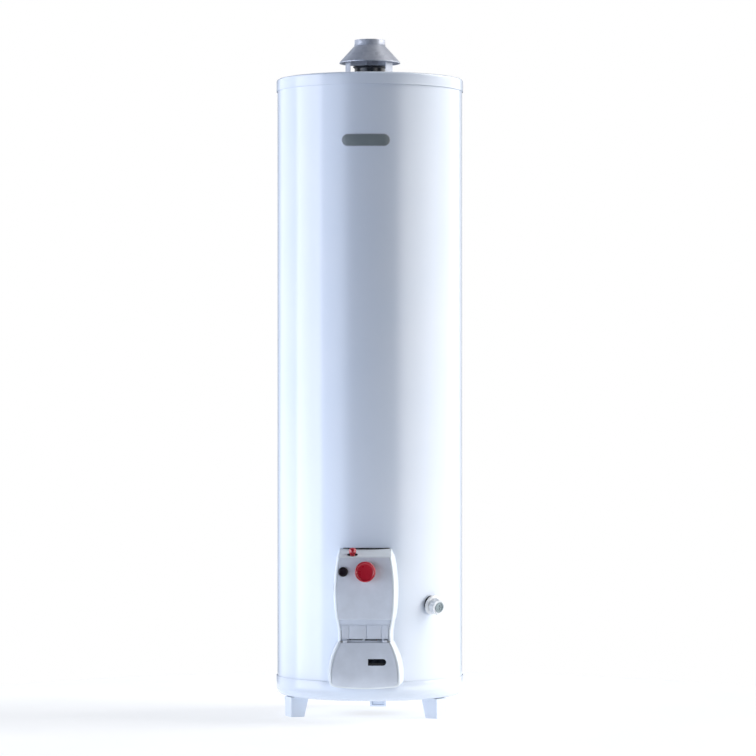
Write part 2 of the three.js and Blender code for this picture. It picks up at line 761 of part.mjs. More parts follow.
function facePanel() {
  const knobHole = moved(forward(rod(8, 260, 320, 20)), KNOB_X, 0, KNOB_Z);
  const igniterHole = moved(forward(rod(IGNITER_RADIUS + 0.5, 260, 320, 24)), IGNITER_X, 0, IGNITER_Z);
  const lipZone = block(-80, 80, -300, COVER_WALL - STRIP_REACH, STRIP_TOP, STRIP_TOP + 2.6);
  const lip = common(common(lipZone, upperPanel(-GAP)), coverBlank(COVER_FRAME, 0));
  return cut(join(common(coverShell, upperPanel(-GAP)), lip), knobHole, igniterHole);
}

/** The recessed strip between panel and door: four raised fields over a row of air slots. */
function louvrePanel() {
  const [low, high] = [DOOR_TOP - STRIP_LAP, STRIP_TOP - GAP];
  const [front, back] = [1.4 - STRIP_REACH, 4.4 - STRIP_REACH];
  const edges = [-STRIP_HALF, -38.5, 3.5, 39.5, STRIP_HALF];
  const plate = common(panelPrism(-0.6, low, high), block(-80, 80, front, back, low, high));
  const fields = edges.slice(1).map((right, i) =>
    block(edges[i] + 0.8, right - 0.8, -STRIP_REACH, front + 0.6, STRIP_BOTTOM + 1, FIELD_TOP));
  const slots = [[-43, -5], [0, 41], [46, 55]].map(([left, right]) =>
    block(left, right, front - 5, back + 5, STRIP_BOTTOM - 3.6, STRIP_BOTTOM));
  return cut(join(plate, ...fields), ...slots);
}

function accessDoor() {
  const panel = common(coverShell, doorPanel(-0.8));
  const slotRadius = (SIGHT.high - SIGHT.low) / 2;
  const slot = frontPrism([
    [SIGHT.left, SIGHT.low],
    ...arc(SIGHT.right - slotRadius, SIGHT.low + slotRadius, slotRadius, -90, 90, 6),
    [SIGHT.left, SIGHT.high],
  ], -320, -240);
  const knuckles = [-53, 43].map((x) => {
    const barrel = moved(rod(3.1, x, x + 10).rotateY(Math.PI / 2), 0, -HINGE_REACH, HINGE_Z);
    const web = block(x, x + 10, -HINGE_REACH - 0.6, -HINGE_REACH + 2.2, DOOR_TOP - 4, HINGE_Z);
    return join(barrel, web);
  });
  const bore = moved(rod(1.9, -90, 90, 12).rotateY(Math.PI / 2), 0, -HINGE_REACH, HINGE_Z);
  return cut(join(panel, ...knuckles), slot, bore);
}

const hingePin = (x) =>
  moved(rod(1.5, x, x + 16).rotateY(Math.PI / 2), 0, -HINGE_REACH, HINGE_Z);

const sightWindow = () =>
  block(SIGHT.left - 4, SIGHT.right + 4, -282.6, -280.6, SIGHT.low - 4, SIGHT.high + 4);

// ---------------------------------------------------------------- drain valve
const wrapped = (geometry) => cut(geometry, rod(BODY_RADIUS + GAP, 100, 500, ROUND));
const drainNipple = () => alongDrain(pipe(10.5, 6, -33, 18, 24));
const drainGasket = () => wrapped(alongDrain(pipe(21, 11.2, -8, 5.1, 24)));
const drainBody = () => alongDrain(turned([
  [11, 5.4], [24.5, 5.4], [24.5, 8.4], [20.5, 10.8], [14, 11.6], [11, 11.6],
], 24));
const drainOutlet = () => alongDrain(turned([
  [7.5, 18.4], [11.4, 18.4], [11.4, 30.8], [13, 30.8], [13, 32.5], [7.5, 32.5],
], 24));

function drainHandwheel() {
  const lobes = 8;
  const outline = samples(0, 360, lobes * 5).slice(0, -1).map((angle) => {
    const radius = 18.6 + 1.0 * Math.cos(radians(angle * lobes));
    return [radius * Math.cos(radians(angle)), radius * Math.sin(radians(angle))];
  });
  const shape = new THREE.Shape(ring2(outline));
  const hole = new THREE.Path();
  hole.absarc(0, 0, 12, 0, Math.PI * 2, true);
  shape.holes.push(hole);
  const wheel = new THREE.ExtrudeGeometry(shape, { depth: 16, bevelEnabled: false, curveSegments: 12 });
  return alongDrain(moved(closed(wheel), 0, 0, 14.4));
}

// ---------------------------------------------------------------- placing every piece
add('base_pan', basePan(), WHITE_ENAMEL);
for (const [side, azimuth] of Object.entries(LEG_AZIMUTHS)) {
  add(`leg_${side}`, foot(azimuth), WHITE_ENAMEL);
  add(`leg_bolt_${side}`, footBolt(azimuth), STEEL);
  add(`hood_strap_${side}`, hoodStrap(azimuth), GALVANISED);
}
add('jacket', jacket(), WHITE_ENAMEL);
add('top_lid', lid(), WHITE_ENAMEL);
LID_SCREW_AZIMUTHS.forEach((azimuth, i) => add(`lid_screw_${i + 1}`, lidScrew(azimuth), STEEL));
add('insulation', insulation(), FOAM);
add('badge', badge(), DARK_PLASTIC);

add('tank_shell', tankShell(), DARK_STEEL);
add('tank_top_head', cut(tankHead(TOP_HEAD_EDGE), ...topHoles(14, 1400, 1600)), DARK_STEEL);
add('tank_bottom_head', tankHead(BOTTOM_HEAD_EDGE), DARK_STEEL);
add('flue_tube', flueTube(), GALVANISED);
add('flue_baffle', flueBaffle(), STEEL);
add('draft_hood', draftHood(), GALVANISED);
add('cold_nipple', moved(pipeNipple(), PIPE_X, PIPE_Y, 0), STEEL);
add('hot_nipple', moved(pipeNipple(), -PIPE_X, PIPE_Y, 0), STEEL);
add('dip_tube', moved(dipTube(), PIPE_X, PIPE_Y, 0), WHITE_PLASTIC);
add('anode_plug', moved(anodePlug(), 0, ANODE_Y, 0), STEEL);
add('anode_rod', moved(anodeRod(), 0, ANODE_Y, 0), CAST_ALLOY);

add('burner_head', burnerHead(), DARK_STEEL);
add('air_shutter', airShutter(), STEEL);
add('burner_orifice', burnerOrifice(), BRASS);
add('burner_tube', burnerTube(), CAST_ALLOY);
add('pilot_burner', pilotBurner(), STEEL);
add('pilot_tube', pilotTube(), CAST_ALLOY);
add('thermocouple', thermocouple(), COPPER);
add('spark_electrode', sparkElectrode(), CERAMIC);
add('igniter_lead', igniterLead(), RUBBER);
add('inner_door', innerDoor(), GALVANISED);
add('inner_door_screw_left', innerDoorScrew(-50), STEEL);
add('inner_door_screw_right', innerDoorScrew(50), STEEL);

add('gas_valve_body', gasValve(), CAST_ALLOY);
add('gas_inlet_nipple', gasInlet(), STEEL);
add('thermostat_probe', thermostatProbe(), COPPER);
add('igniter_bracket', igniterBracket(), GALVANISED);
add('igniter_body', igniterBody(), BLACK_PLASTIC);
add('igniter_button', igniterButton(), BLACK_PLASTIC);
add('control_knob', controlKnob(), RED_PLASTIC);
add('pilot_button', pilotButton(), RED_PLASTIC);

add('cover_frame', coverFrame(), WHITE_PLASTIC);
add('face_panel', facePanel(), GREY_PLASTIC);
add('louvre_panel', louvrePanel(), GREY_PLASTIC);
add('access_door', accessDoor(), GREY_PLASTIC);
add('sight_window', sightWindow(), GLASS);
add('door_hinge_pin_left', hingePin(-61), STEEL);
add('door_hinge_pin_right', hingePin(45), STEEL);

add('drain_nipple', drainNipple(), BRASS);
add('drain_gasket', drainGasket(), RUBBER);
add('drain_body', drainBody(), WHITE_PLASTIC);
add('drain_outlet', drainOutlet(), DARK_PLASTIC);
add('drain_handwheel', drainHandwheel(), WHITE_PLASTIC);

heater.position.y = (KNOB_FRONT - LID_RADIUS - LID_SCREW_HEAD) / 2;

export default heater;
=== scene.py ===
import json
import math

import bmesh
import bpy
from mathutils import Matrix, Vector


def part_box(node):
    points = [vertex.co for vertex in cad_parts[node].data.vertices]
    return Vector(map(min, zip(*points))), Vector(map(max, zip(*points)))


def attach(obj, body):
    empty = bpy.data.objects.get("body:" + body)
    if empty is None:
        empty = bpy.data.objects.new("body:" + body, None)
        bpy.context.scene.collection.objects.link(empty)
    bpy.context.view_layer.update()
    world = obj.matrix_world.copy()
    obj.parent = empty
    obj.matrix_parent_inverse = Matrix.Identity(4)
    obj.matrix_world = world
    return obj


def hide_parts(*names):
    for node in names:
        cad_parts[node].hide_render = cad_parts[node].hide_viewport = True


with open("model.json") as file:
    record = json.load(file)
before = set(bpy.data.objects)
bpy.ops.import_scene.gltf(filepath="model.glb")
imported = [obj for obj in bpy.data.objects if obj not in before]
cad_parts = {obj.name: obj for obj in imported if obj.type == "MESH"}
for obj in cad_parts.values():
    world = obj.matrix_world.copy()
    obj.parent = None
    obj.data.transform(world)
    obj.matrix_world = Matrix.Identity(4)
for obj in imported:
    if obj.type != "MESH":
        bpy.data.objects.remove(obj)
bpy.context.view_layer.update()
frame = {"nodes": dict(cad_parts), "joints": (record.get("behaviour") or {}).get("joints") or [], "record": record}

# A floor-standing gas water heater. Metres, +Z up, the front faces -Y. Lengths written in
# millimetres are turned into metres by MM. Profiles are (distance from the tank's axis, height).
MM = 0.001

# ------------------------------ places taken from the frame


def span(node, axis):
    low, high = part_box(node)
    return low[axis], high[axis]


def middle(node, axis):
    return sum(span(node, axis)) / 2


def radius_of(node):
    low, high = span(node, 0)
    return (high - low) / 2


JACKET_LOW, JACKET_HIGH = span("jacket", 2)
BODY_R = radius_of("jacket")
AXIS_Y = middle("jacket", 1)
LID_R = radius_of("top_lid")
LID_LOW, LID_TOP = span("top_lid", 2)
PAN_LOW, PAN_RIM = span("base_pan", 2)
HOOD_LOW, HOOD_TOP = span("draft_hood", 2)
BRIM_R = radius_of("draft_hood")
FLUE_LOW, FLUE_TOP = span("flue_tube", 2)
FLUE_RIM_R = radius_of("flue_tube")
COLLAR_R = 38 * MM
KNOB_X, KNOB_Z = middle("control_knob", 0), middle("control_knob", 2)
KNOB_R = radius_of("control_knob")
KNOB_FRONT = AXIS_Y - span("control_knob", 1)[0]
IGNITER_X, IGNITER_Z = middle("igniter_button", 0), middle("igniter_button", 2)
IGNITER_R = radius_of("igniter_button")
IGNITER_FRONT = AXIS_Y - span("igniter_button", 1)[0]
PILOT_X, PILOT_Y = middle("pilot_button", 0), middle("pilot_button", 1)
PILOT_LOW, PILOT_TOP = span("pilot_button", 2)
JOINTS = {joint["name"]: joint for joint in frame["joints"]}
HINGE = Vector(JOINTS["door_swing"]["pos_m"])
FOOT_AZIMUTHS = {"left": -64, "right": 56, "rear": 176}  # degrees, 0 is the front
DRAIN_AZIMUTH = 43
DRAIN_TILT = 11
DRAIN_Z = 282 * MM

# ------------------------------ mesh making


def in_mm(*points):
    """Points written in millimetres, in metres."""
    return [tuple(value * MM for value in point) for point in points]


def mesh_object(name, verts, faces):
    mesh = bpy.data.meshes.new(name)
    mesh.from_pydata(verts, [], faces)
    mesh.update()
    obj = bpy.data.objects.new(name, mesh)
    bpy.context.scene.collection.objects.link(obj)
    return obj


def edit_mesh(obj, change):
    """Opens the object's mesh, makes one change to it, and writes it back."""
    edit = bmesh.new()
    edit.from_mesh(obj.data)
    change(edit)
    edit.to_mesh(obj.data)
    edit.free()
    return obj


def weld(edit):
    bmesh.ops.remove_doubles(edit, verts=edit.verts, dist=1e-6)


def weld_outward(edit):
    weld(edit)
    bmesh.ops.recalc_face_normals(edit, faces=edit.faces)


def tidy_mesh(obj, sharp=32):
    """Welds, points the faces outward, and shades smooth with the real edges kept sharp."""
    limit = math.radians(sharp)

    def finish(edit):
        weld_outward(edit)
        for edge in edit.edges:
            edge.smooth = edge.is_manifold and edge.calc_face_angle(0) < limit
        for face in edit.faces:
            face.smooth = True

    return edit_mesh(obj, finish)


def apply_modifiers(obj):
    bpy.context.view_layer.update()
    graph = bpy.context.evaluated_depsgraph_get()
    baked = bpy.data.meshes.new_from_object(obj.evaluated_get(graph))
    obj.modifiers.clear()
    old = obj.data
    obj.data = baked
    bpy.data.meshes.remove(old)
    return obj


def cut(obj, *tools, operation="DIFFERENCE"):
    """Cuts the tools out of the object, or keeps what they share with it, and removes them."""
    for tool in tools:
        step = obj.modifiers.new("cut", "BOOLEAN")
        step.operation = operation
        step.solver = "EXACT"
        step.object = tool
    apply_modifiers(obj)
    for tool in tools:
        bpy.data.objects.remove(tool)
    return obj


def bevel(obj, width, segments=3, angle=40):
    step = obj.modifiers.new("bevel", "BEVEL")
    step.width = width
    step.segments = segments
    step.limit_method = "ANGLE"
    step.angle_limit = math.radians(angle)
    step.harden_normals = False
    return apply_modifiers(obj)


def thicken(obj, thickness):
    """Gives an open skin its sheet thickness, on the inner side."""
    step = obj.modifiers.new("sheet", "SOLIDIFY")
    step.thickness = thickness
    step.offset = -1
    step.use_even_offset = True
    return apply_modifiers(obj)


def fillet(points, radius, steps=5):
    """Rounds every corner but the first and last. radius is one number or one per point."""
    out = [points[0]]
    for i in range(1, len(points) - 1):
        r = radius[i] if isinstance(radius, (list, tuple)) else radius
        corner = Vector(points[i])
        before = Vector(points[i - 1]) - corner
        after = Vector(points[i + 1]) - corner
        turn = before.angle(after) if before.length and after.length else math.pi
        if r <= 0 or turn > math.radians(176):
            out.append(points[i])
            continue
        reach = min(r / math.tan(turn / 2), before.length * 0.49, after.length * 0.49)
        start = corner + before.normalized() * reach
        end = corner + after.normalized() * reach
        for k in range(steps + 1):
            t = k / steps
            point = start * (1 - t) ** 2 + corner * (2 * t * (1 - t)) + end * t ** 2
            out.append((point.x, point.y))
    out.append(points[-1])
    return out


def lathe(name, profile, segments=96, closed=True):
    """A (radius, height) outline turned about the Z axis through the origin."""
    verts, faces = [], []
    count = len(profile)
    for s in range(segments):
        angle = 2 * math.pi * s / segments
        verts += [(r * math.sin(angle), -r * math.cos(angle), z) for r, z in profile]
    last = count if closed else count - 1
    for s in range(segments):
        here, there = s * count, ((s + 1) % segments) * count
        for i in range(last):
            j = (i + 1) % count
            faces.append((here + i, there + i, there + j, here + j))

    def close_up(edit):
        weld(edit)
        bmesh.ops.dissolve_degenerate(edit, edges=edit.edges, dist=1e-7)

    return edit_mesh(mesh_object(name, verts, faces), close_up)


def extruded(name, outline, depth, holes=()):
    """A 2D outline in XY made into a plate from z = 0 to z = depth."""
    curve = bpy.data.curves.new(name, "CURVE")
    curve.dimensions = "2D"
    curve.fill_mode = "BOTH"
    curve.extrude = depth / 2
    for ring in (outline, *holes):
        spline = curve.splines.new("POLY")
        spline.points.add(len(ring) - 1)
        for point, (x, y) in zip(spline.points, ring):
            point.co = (x, y, 0, 1)
        spline.use_cyclic_u = True
    temporary = bpy.data.objects.new(name, curve)
    bpy.context.scene.collection.objects.link(temporary)
    bpy.context.view_layer.update()
    graph = bpy.context.evaluated_depsgraph_get()
    mesh = bpy.data.meshes.new_from_object(temporary.evaluated_get(graph))
    bpy.data.objects.remove(temporary)
    obj = bpy.data.objects.new(name, mesh)
    obj.data.transform(Matrix.Translation((0, 0, depth / 2)))
    bpy.context.scene.collection.objects.link(obj)
    return edit_mesh(obj, weld_outward)


def grid(name, rows, close=False, skip=None):
    """A skin through rows of points, all of one length. skip(r, c) leaves a face out."""
    width = len(rows[0])
    verts = [tuple(p) for row in rows for p in row]
    faces = []
    for r in range(len(rows) - 1):
        for c in range(width if close else width - 1):
            if skip and skip(r, c):
                continue
            d = (c + 1) % width
            faces.append((r * width + c, r * width + d, (r + 1) * width + d, (r + 1) * width + c))

    def drop_loose(edit):
        loose = [vert for vert in edit.verts if not vert.link_faces]
        bmesh.ops.delete(edit, geom=loose, context="VERTS")

    return edit_mesh(mesh_object(name, verts, faces), drop_loose)


def capped(obj):
    """Closes the open ends of a tube-like skin."""

    def fill(edit):
        bmesh.ops.holes_fill(edit, edges=[edge for edge in edit.edges if edge.is_boundary])

    return edit_mesh(obj, fill)


def placed(obj, matrix):
    obj.data.transform(matrix)
    obj.data.update()
    return obj


def moved(obj, x, y, z):
    return placed(obj, Matrix.Translation((x, y, z)))


FORWARD = Matrix.Rotation(math.radians(90), 4, "X")  # what pointed at +Z points at -Y


def at_axis(obj, azimuth=0.0):
    """From the tank's own axis into the frame, turned to an azimuth (0 is the front)."""
    turn = Matrix.Rotation(math.radians(azimuth), 4, "Z")
    return placed(obj, Matrix.Translation((0, AXIS_Y, 0)) @ turn)


def on_front(obj, x, z):
    """A part built along +Z from the tank's axis, pointed at -Y through (x, z)."""
    return placed(obj, Matrix.Translation((x, AXIS_Y, z)) @ FORWARD)


DRAIN_SPOT = Matrix.Translation((0, -BODY_R, DRAIN_Z))
DRAIN_OUT = DRAIN_SPOT @ Matrix.Rotation(math.radians(DRAIN_TILT), 4, "X") @ FORWARD


def on_drain(obj):
    """A part built along +Z from the jacket's surface, set on the drain's axis."""
    return at_axis(placed(obj, DRAIN_OUT), DRAIN_AZIMUTH)


def rod(name, radius, low, high, segments=48, edge=0.0):
    outline = [(0, low), (radius, low), (radius, high), (0, high)]
    return lathe(name, fillet(outline, edge, 4) if edge else outline, segments, closed=False)


def box_tool(name, low, high):
    xs, ys, zs = zip(low, high)
    verts = [(x, y, z) for x in xs for y in ys for z in zs]
    faces = [(0, 1, 3, 2), (4, 6, 7, 5), (0, 4, 5, 1), (2, 3, 7, 6), (0, 2, 6, 4), (1, 5, 7, 3)]
    return tidy_mesh(mesh_object(name, verts, faces))


def circle(radius, steps, start=0.0, end=360.0):
    full = abs(end - start) >= 360
    count = steps if full else steps + 1
    angles = [math.radians(start + (end - start) * i / steps) for i in range(count)]
    return [(radius * math.cos(a), radius * math.sin(a)) for a in angles]


def steps_between(low, high, count):
    return [low + (high - low) * i / count for i in range(count + 1)]


# ------------------------------ materials


class Shader:
    """A material's node tree, with short calls for what these finishes share."""

    def __init__(self, name):
        self.material = bpy.data.materials.new(name)
        self.material.use_nodes = True
        self.nodes = self.material.node_tree.nodes
        self.links = self.material.node_tree.links
        self.surface = self.nodes["Principled BSDF"]
        self.place = self.node("ShaderNodeTexCoord").outputs["Object"]
        self.height = None

    def node(self, kind, **settings):
        made = self.nodes.new(kind)
        for key, value in settings.items():
            setattr(made, key, value)
        return made

    def set(self, **values):
        for key, value in values.items():
            self.surface.inputs[key.replace("_", " ")].default_value = value

    def stretched(self, scale):
        mapping = self.node("ShaderNodeMapping")
        mapping.inputs["Scale"].default_value = scale
        self.links.new(self.place, mapping.inputs["Vector"])
        return mapping.outputs["Vector"]

    def noise(self, scale, detail=3.0, rough=0.5, stretch=None):
        texture = self.node("ShaderNodeTexNoise")
        texture.inputs["Scale"].default_value = scale
        texture.inputs["Detail"].default_value = detail
        texture.inputs["Roughness"].default_value = rough
        self.links.new(self.stretched(stretch) if stretch else self.place, texture.inputs["Vector"])
        return texture.outputs["Fac"]

    def cells(self, scale):
        texture = self.node("ShaderNodeTexVoronoi")
        texture.inputs["Scale"].default_value = scale
        self.links.new(self.place, texture.inputs["Vector"])
        return texture.outputs["Color"]

    def ramp(self, source, low, high, low_value, high_value):
        """source between low and high carried to the two values, which are numbers or colours."""
        if isinstance(low_value, tuple):
            ramp = self.node("ShaderNodeValToRGB")
            ramp.color_ramp.elements[0].position = low
            ramp.color_ramp.elements[1].position = high
            ramp.color_ramp.elements[0].color = (*low_value, 1)
            ramp.color_ramp.elements[1].color = (*high_value, 1)
            self.links.new(source, ramp.inputs["Fac"])
            return ramp.outputs["Color"]
        ramp = self.node("ShaderNodeMapRange")
        ends = {"From Min": low, "From Max": high, "To Min": low_value, "To Max": high_value}
        for name, value in ends.items():
            ramp.inputs[name].default_value = value
        self.links.new(source, ramp.inputs["Value"])
        return ramp.outputs["Result"]

    def colour(self, source):
        self.links.new(source, self.surface.inputs["Base Color"])

    def roughness(self, source):
        self.links.new(source, self.surface.inputs["Roughness"])

    def bump(self, source, distance, strength=1.0):
        """Adds one more layer of relief, its height given in metres."""
        layer = self.node("ShaderNodeBump")
        layer.inputs["Distance"].default_value = distance
        layer.inputs["Strength"].default_value = strength
        self.links.new(source, layer.inputs["Height"])
        if self.height is not None:
            self.links.new(self.height, layer.inputs["Normal"])
        self.height = layer.outputs["Normal"]
        self.links.new(self.height, self.surface.inputs["Normal"])


def shade(colour, factor):
    return tuple(min(1.0, c * factor) for c in colour)


def enamel_material():
    """Baked white enamel on rolled sheet: glossy, with faint orange peel and a slow waviness."""
    s = Shader("enamel_white_paint")
    s.set(IOR=1.5)
    s.colour(s.ramp(s.noise(6, 4), 0.3, 0.7, (0.705, 0.785, 0.91), (0.735, 0.805, 0.92)))
    s.roughness(s.ramp(s.noise(14, 5), 0.3, 0.7, 0.11, 0.16))
    s.bump(s.noise(2.6, 1, 0.4, (1, 1, 0.3)), 0.0010, 0.4)
    s.bump(s.noise(420, 2), 0.000010, 0.6)
    return s.material


def plastic_material(name, colour, rough, grain=2200, depth=0.00002, coat=0.0):
    """Moulded plastic: a fine spark-eroded grain and slight unevenness of colour and gloss."""
    s = Shader(name)
    s.set(IOR=1.48, Coat_Weight=coat, Coat_Roughness=0.15)
    s.colour(s.ramp(s.noise(30, 4), 0.3, 0.7, shade(colour, 0.94), shade(colour, 1.05)))
    s.roughness(s.ramp(s.noise(60, 4), 0.3, 0.7, rough - 0.05, rough + 0.06))
    s.bump(s.noise(grain, 2), depth, 0.8)
    s.bump(s.noise(25, 2), 0.0002, 0.25)
    return s.material


def galvanised_material():
    """Zinc-coated sheet: spangle cells of slightly different grey and gloss, with fine scratches."""
    s = Shader("galvanised_sheet")
    s.set(Metallic=0.22)
    cells = s.cells(110)
    s.colour(s.ramp(cells, 0.0, 1.0, (0.35, 0.38, 0.45), (0.45, 0.48, 0.55)))
    s.roughness(s.ramp(cells, 0.0, 1.0, 0.30, 0.42))
    s.bump(s.noise(900, 3, 0.6, (1, 1, 0.08)), 0.00002, 0.6)
    s.bump(s.noise(16, 2), 0.0006, 0.3)
    return s.material


def metal_material(name, dark, light, rough, brush=(1, 1, 0.1), scale=600):
    """Turned, drawn or plated metal: fine lines along one direction and soft staining."""
    s = Shader(name)
    s.set(Metallic=0.95)
    s.colour(s.ramp(s.noise(45, 5), 0.3, 0.7, dark, light))
    s.roughness(s.ramp(s.noise(110, 4), 0.3, 0.7, rough - 0.08, rough + 0.1))
    s.bump(s.noise(scale, 3, 0.6, brush), 0.00003, 0.7)
    return s.material


def tank_material():
    """Dark primer over mild steel, with rust bloom and mill scale."""
    s = Shader("tank_primer")
    s.set(Metallic=0.3)
    s.colour(s.ramp(s.noise(22, 8, 0.65), 0.42, 0.62, (0.045, 0.047, 0.052), (0.16, 0.075, 0.04)))
    s.roughness(s.ramp(s.noise(50, 5), 0.3, 0.7, 0.5, 0.8))
    s.bump(s.noise(300, 6, 0.7), 0.0003, 0.7)
    return s.material


def black_enamel_material():
    """Vitreous black on the flue, glossy, with a few paler heat marks."""
    s = Shader("flue_black_enamel")
    s.colour(s.ramp(s.noise(30, 6), 0.35, 0.7, (0.006, 0.008, 0.012), (0.022, 0.026, 0.034)))
    s.roughness(s.ramp(s.noise(60, 4), 0.3, 0.7, 0.22, 0.38))
    s.bump(s.noise(240, 4), 0.00004, 0.7)
    return s.material


def cast_material():
    """Sand-blasted die casting, matt, with darker hollows."""
    s = Shader("cast_alloy")
    s.set(Metallic=0.8)
    s.colour(s.ramp(s.noise(70, 6, 0.6), 0.3, 0.7, (0.30, 0.31, 0.33), (0.45, 0.46, 0.48)))
    s.roughness(s.ramp(s.noise(90, 4), 0.3, 0.7, 0.42, 0.6))
    s.bump(s.noise(1100, 4), 0.00012, 0.8)
    return s.material


def foam_material():
    """Glass-fibre blanket and foam: a yellowish mat of short crossing fibres."""
    s = Shader("insulation_mat")
    s.set(Roughness=0.95, Sheen_Weight=0.3)
    s.colour(s.ramp(s.noise(160, 8, 0.7), 0.3, 0.7, (0.52, 0.38, 0.14), (0.80, 0.66, 0.36)))
    s.bump(s.noise(260, 8, 0.8, (1, 1, 3)), 0.003, 0.9)
    return s.material


def rubber_material():
    s = Shader("rubber_black")
    s.colour(s.ramp(s.noise(120, 5), 0.3, 0.7, (0.010, 0.010, 0.011), (0.022, 0.022, 0.024)))
    s.roughness(s.ramp(s.noise(90, 4), 0.3, 0.7, 0.65, 0.85))
    s.bump(s.noise(1500, 3), 0.00005, 0.8)
    return s.material


def ceramic_material():
    s = Shader("ceramic_glaze")
    s.set(Coat_Weight=0.6, Coat_Roughness=0.1)
    s.colour(s.ramp(s.noise(200, 4), 0.3, 0.7, (0.72, 0.68, 0.58), (0.84, 0.80, 0.72)))
    s.roughness(s.ramp(s.noise(90, 3), 0.3, 0.7, 0.25, 0.4))
    s.bump(s.noise(600, 3), 0.00004, 0.6)
    return s.material


def dark_glass_material():
    """Heat-resistant sight glass, nearly black: painted shade of the dark chamber behind it."""
    s = Shader("sight_glass")
    s.set(IOR=1.3, Coat_Weight=0.2, Coat_Roughness=0.02)
    s.colour(s.ramp(s.noise(110, 5), 0.4, 0.7, (0.004, 0.005, 0.008), (0.016, 0.018, 0.024)))
    s.roughness(s.ramp(s.noise(60, 4), 0.3, 0.7, 0.03, 0.14))
    s.bump(s.noise(40, 2), 0.0002, 0.3)
    return s.material


MATERIALS = {
    "enamel_white": enamel_material(),
    "plastic_white": plastic_material("plastic_white_moulded", (0.68, 0.735, 0.79), 0.36),
    "plastic_grey": plastic_material("plastic_grey_moulded", (0.60, 0.65, 0.74), 0.42),
    "plastic_red": plastic_material("plastic_red_moulded", (0.40, 0.007, 0.022), 0.30, coat=0.6),
    "plastic_black": plastic_material("plastic_black_moulded", (0.008, 0.004, 0.008), 0.3),
    "plastic_dark": plastic_material("plastic_dark_moulded", (0.20, 0.235, 0.25), 0.42),
    "rubber_black": rubber_material(),
    "galvanised": galvanised_material(),
    "steel_plated": metal_material("zinc_plated_steel", (0.42, 0.43, 0.44), (0.60, 0.60, 0.60), 0.36),
    "steel_tank": tank_material(),
    "alloy": cast_material(),
    "brass": metal_material("plain_brass", (0.50, 0.33, 0.10), (0.72, 0.52, 0.20), 0.30),
    "copper": metal_material("plain_copper", (0.46, 0.20, 0.11), (0.68, 0.33, 0.20), 0.34),
    "ceramic": ceramic_material(),
    "foam": foam_material(),
    "glass_dark": dark_glass_material(),
}
# The drain valve's white plastic, brighter than plastic_white: painted light on the valve's body and handwheel
DRAIN_WHITE_LIT = plastic_material("drain_white_painted_light", (0.86, 0.89, 0.93), 0.3)
OUTLET_GREY = plastic_material("drain_grey_moulded", (0.33, 0.40, 0.43), 0.4)


def piece(obj, slot, body="root", replaces=(), sharp=32, material=None):
    """The last step for every new piece: finish, slot, body, and the CAD nodes it stands for."""
    tidy_mesh(obj, sharp)
    obj.data.materials.clear()
    obj.data.materials.append(material or MATERIALS[slot])
    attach(obj, body)
    if replaces:
        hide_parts(*replaces)


# ------------------------------ body: pan, jacket, lid


def base_pan():
    """A round pan with a big hole and a ring of small air holes in its floor."""
    corner, sheet, hole = 27 * MM, 1.6 * MM, 70 * MM
    hole_count, hole_circle = 12, 105 * MM
    r = LID_R
    outer = fillet([(hole, PAN_LOW), (r, PAN_LOW), (r, PAN_RIM)], corner, 14)
    inner = fillet([(r - sheet, PAN_RIM), (r - sheet, PAN_LOW + sheet), (hole, PAN_LOW + sheet)],
                   corner - sheet, 14)
    rim = [(r - sheet * 0.15, PAN_RIM), (r - sheet * 0.85, PAN_RIM)]
    pan = lathe("base_pan_shell", outer[:-1] + [(r, PAN_RIM - 0.5 * MM)] + rim + inner[1:], 192)
    holes = []
    for i in range(hole_count):
        angle = 2 * math.pi * (i + 0.5) / hole_count
        tool = rod("air_hole", 6 * MM, PAN_LOW - 10 * MM, PAN_LOW + 20 * MM, 20)
        holes.append(moved(tool, hole_circle * math.sin(angle), hole_circle * math.cos(angle), 0))
    cut(pan, *holes)
    piece(at_axis(pan), "enamel_white", replaces=["base_pan"])


def foot_webs():
    """A small web across the open side of each pressed foot, just above its sole."""
    outline = fillet(in_mm((-14.6, 4.5), (14.6, 4.5), (15.6, 22), (-15.6, 22)), 1.5 * MM, 4)
    for side, azimuth in FOOT_AZIMUTHS.items():
        web = placed(extruded(f"leg_web_{side}", outline, 2 * MM), FORWARD)
        moved(web, 0, -187 * MM, 0)
        piece(at_axis(bevel(web, 0.5 * MM, 2), azimuth), "enamel_white")


def jacket():
    """One rolled sheet, cut open behind the cover and for the drain valve; its lock seam at the back is made by
    jacket_seam.
    """
    sheet = 1.0 * MM
    profile = [
        (BODY_R - sheet, JACKET_LOW),
        (BODY_R, JACKET_LOW),
        (BODY_R, JACKET_HIGH),
        (BODY_R - sheet, JACKET_HIGH),
    ]
    shell = lathe("jacket_sheet", profile, 256)
    low, high = 104 * MM, 398 * MM
    half = 60 * MM
    opening = box_tool("opening", (-half, -BODY_R - 20 * MM, low), (half, -100 * MM, high))
    turn = Matrix.Rotation(math.radians(DRAIN_AZIMUTH), 4, "Z")
    drain = placed(rod("drain_cut", 14 * MM, -30 * MM, 30 * MM), turn @ DRAIN_OUT)
    cut(shell, opening, drain)
    piece(at_axis(shell), "enamel_white", replaces=["jacket"])


def jacket_seam():
    """The folded lock seam that closes the rolled sheet, down the back."""
    half, rise = 5 * MM, 1.1 * MM
    low, high = PAN_RIM + 1 * MM, LID_LOW - 1 * MM
    section = fillet([(-half, -0.3 * MM), (-half * 0.8, rise), (half * 0.8, rise), (half, -0.3 * MM)],
                     1.2 * MM, 4)
    rows = []
    for z in (low, low + 2 * MM, high - 2 * MM, high):
        ends = 0.15 if z in (low, high) else 1.0
        rows.append([(x, BODY_R + y * ends, z) for x, y in section])
    piece(at_axis(grid("jacket_seam", rows)), "enamel_white")


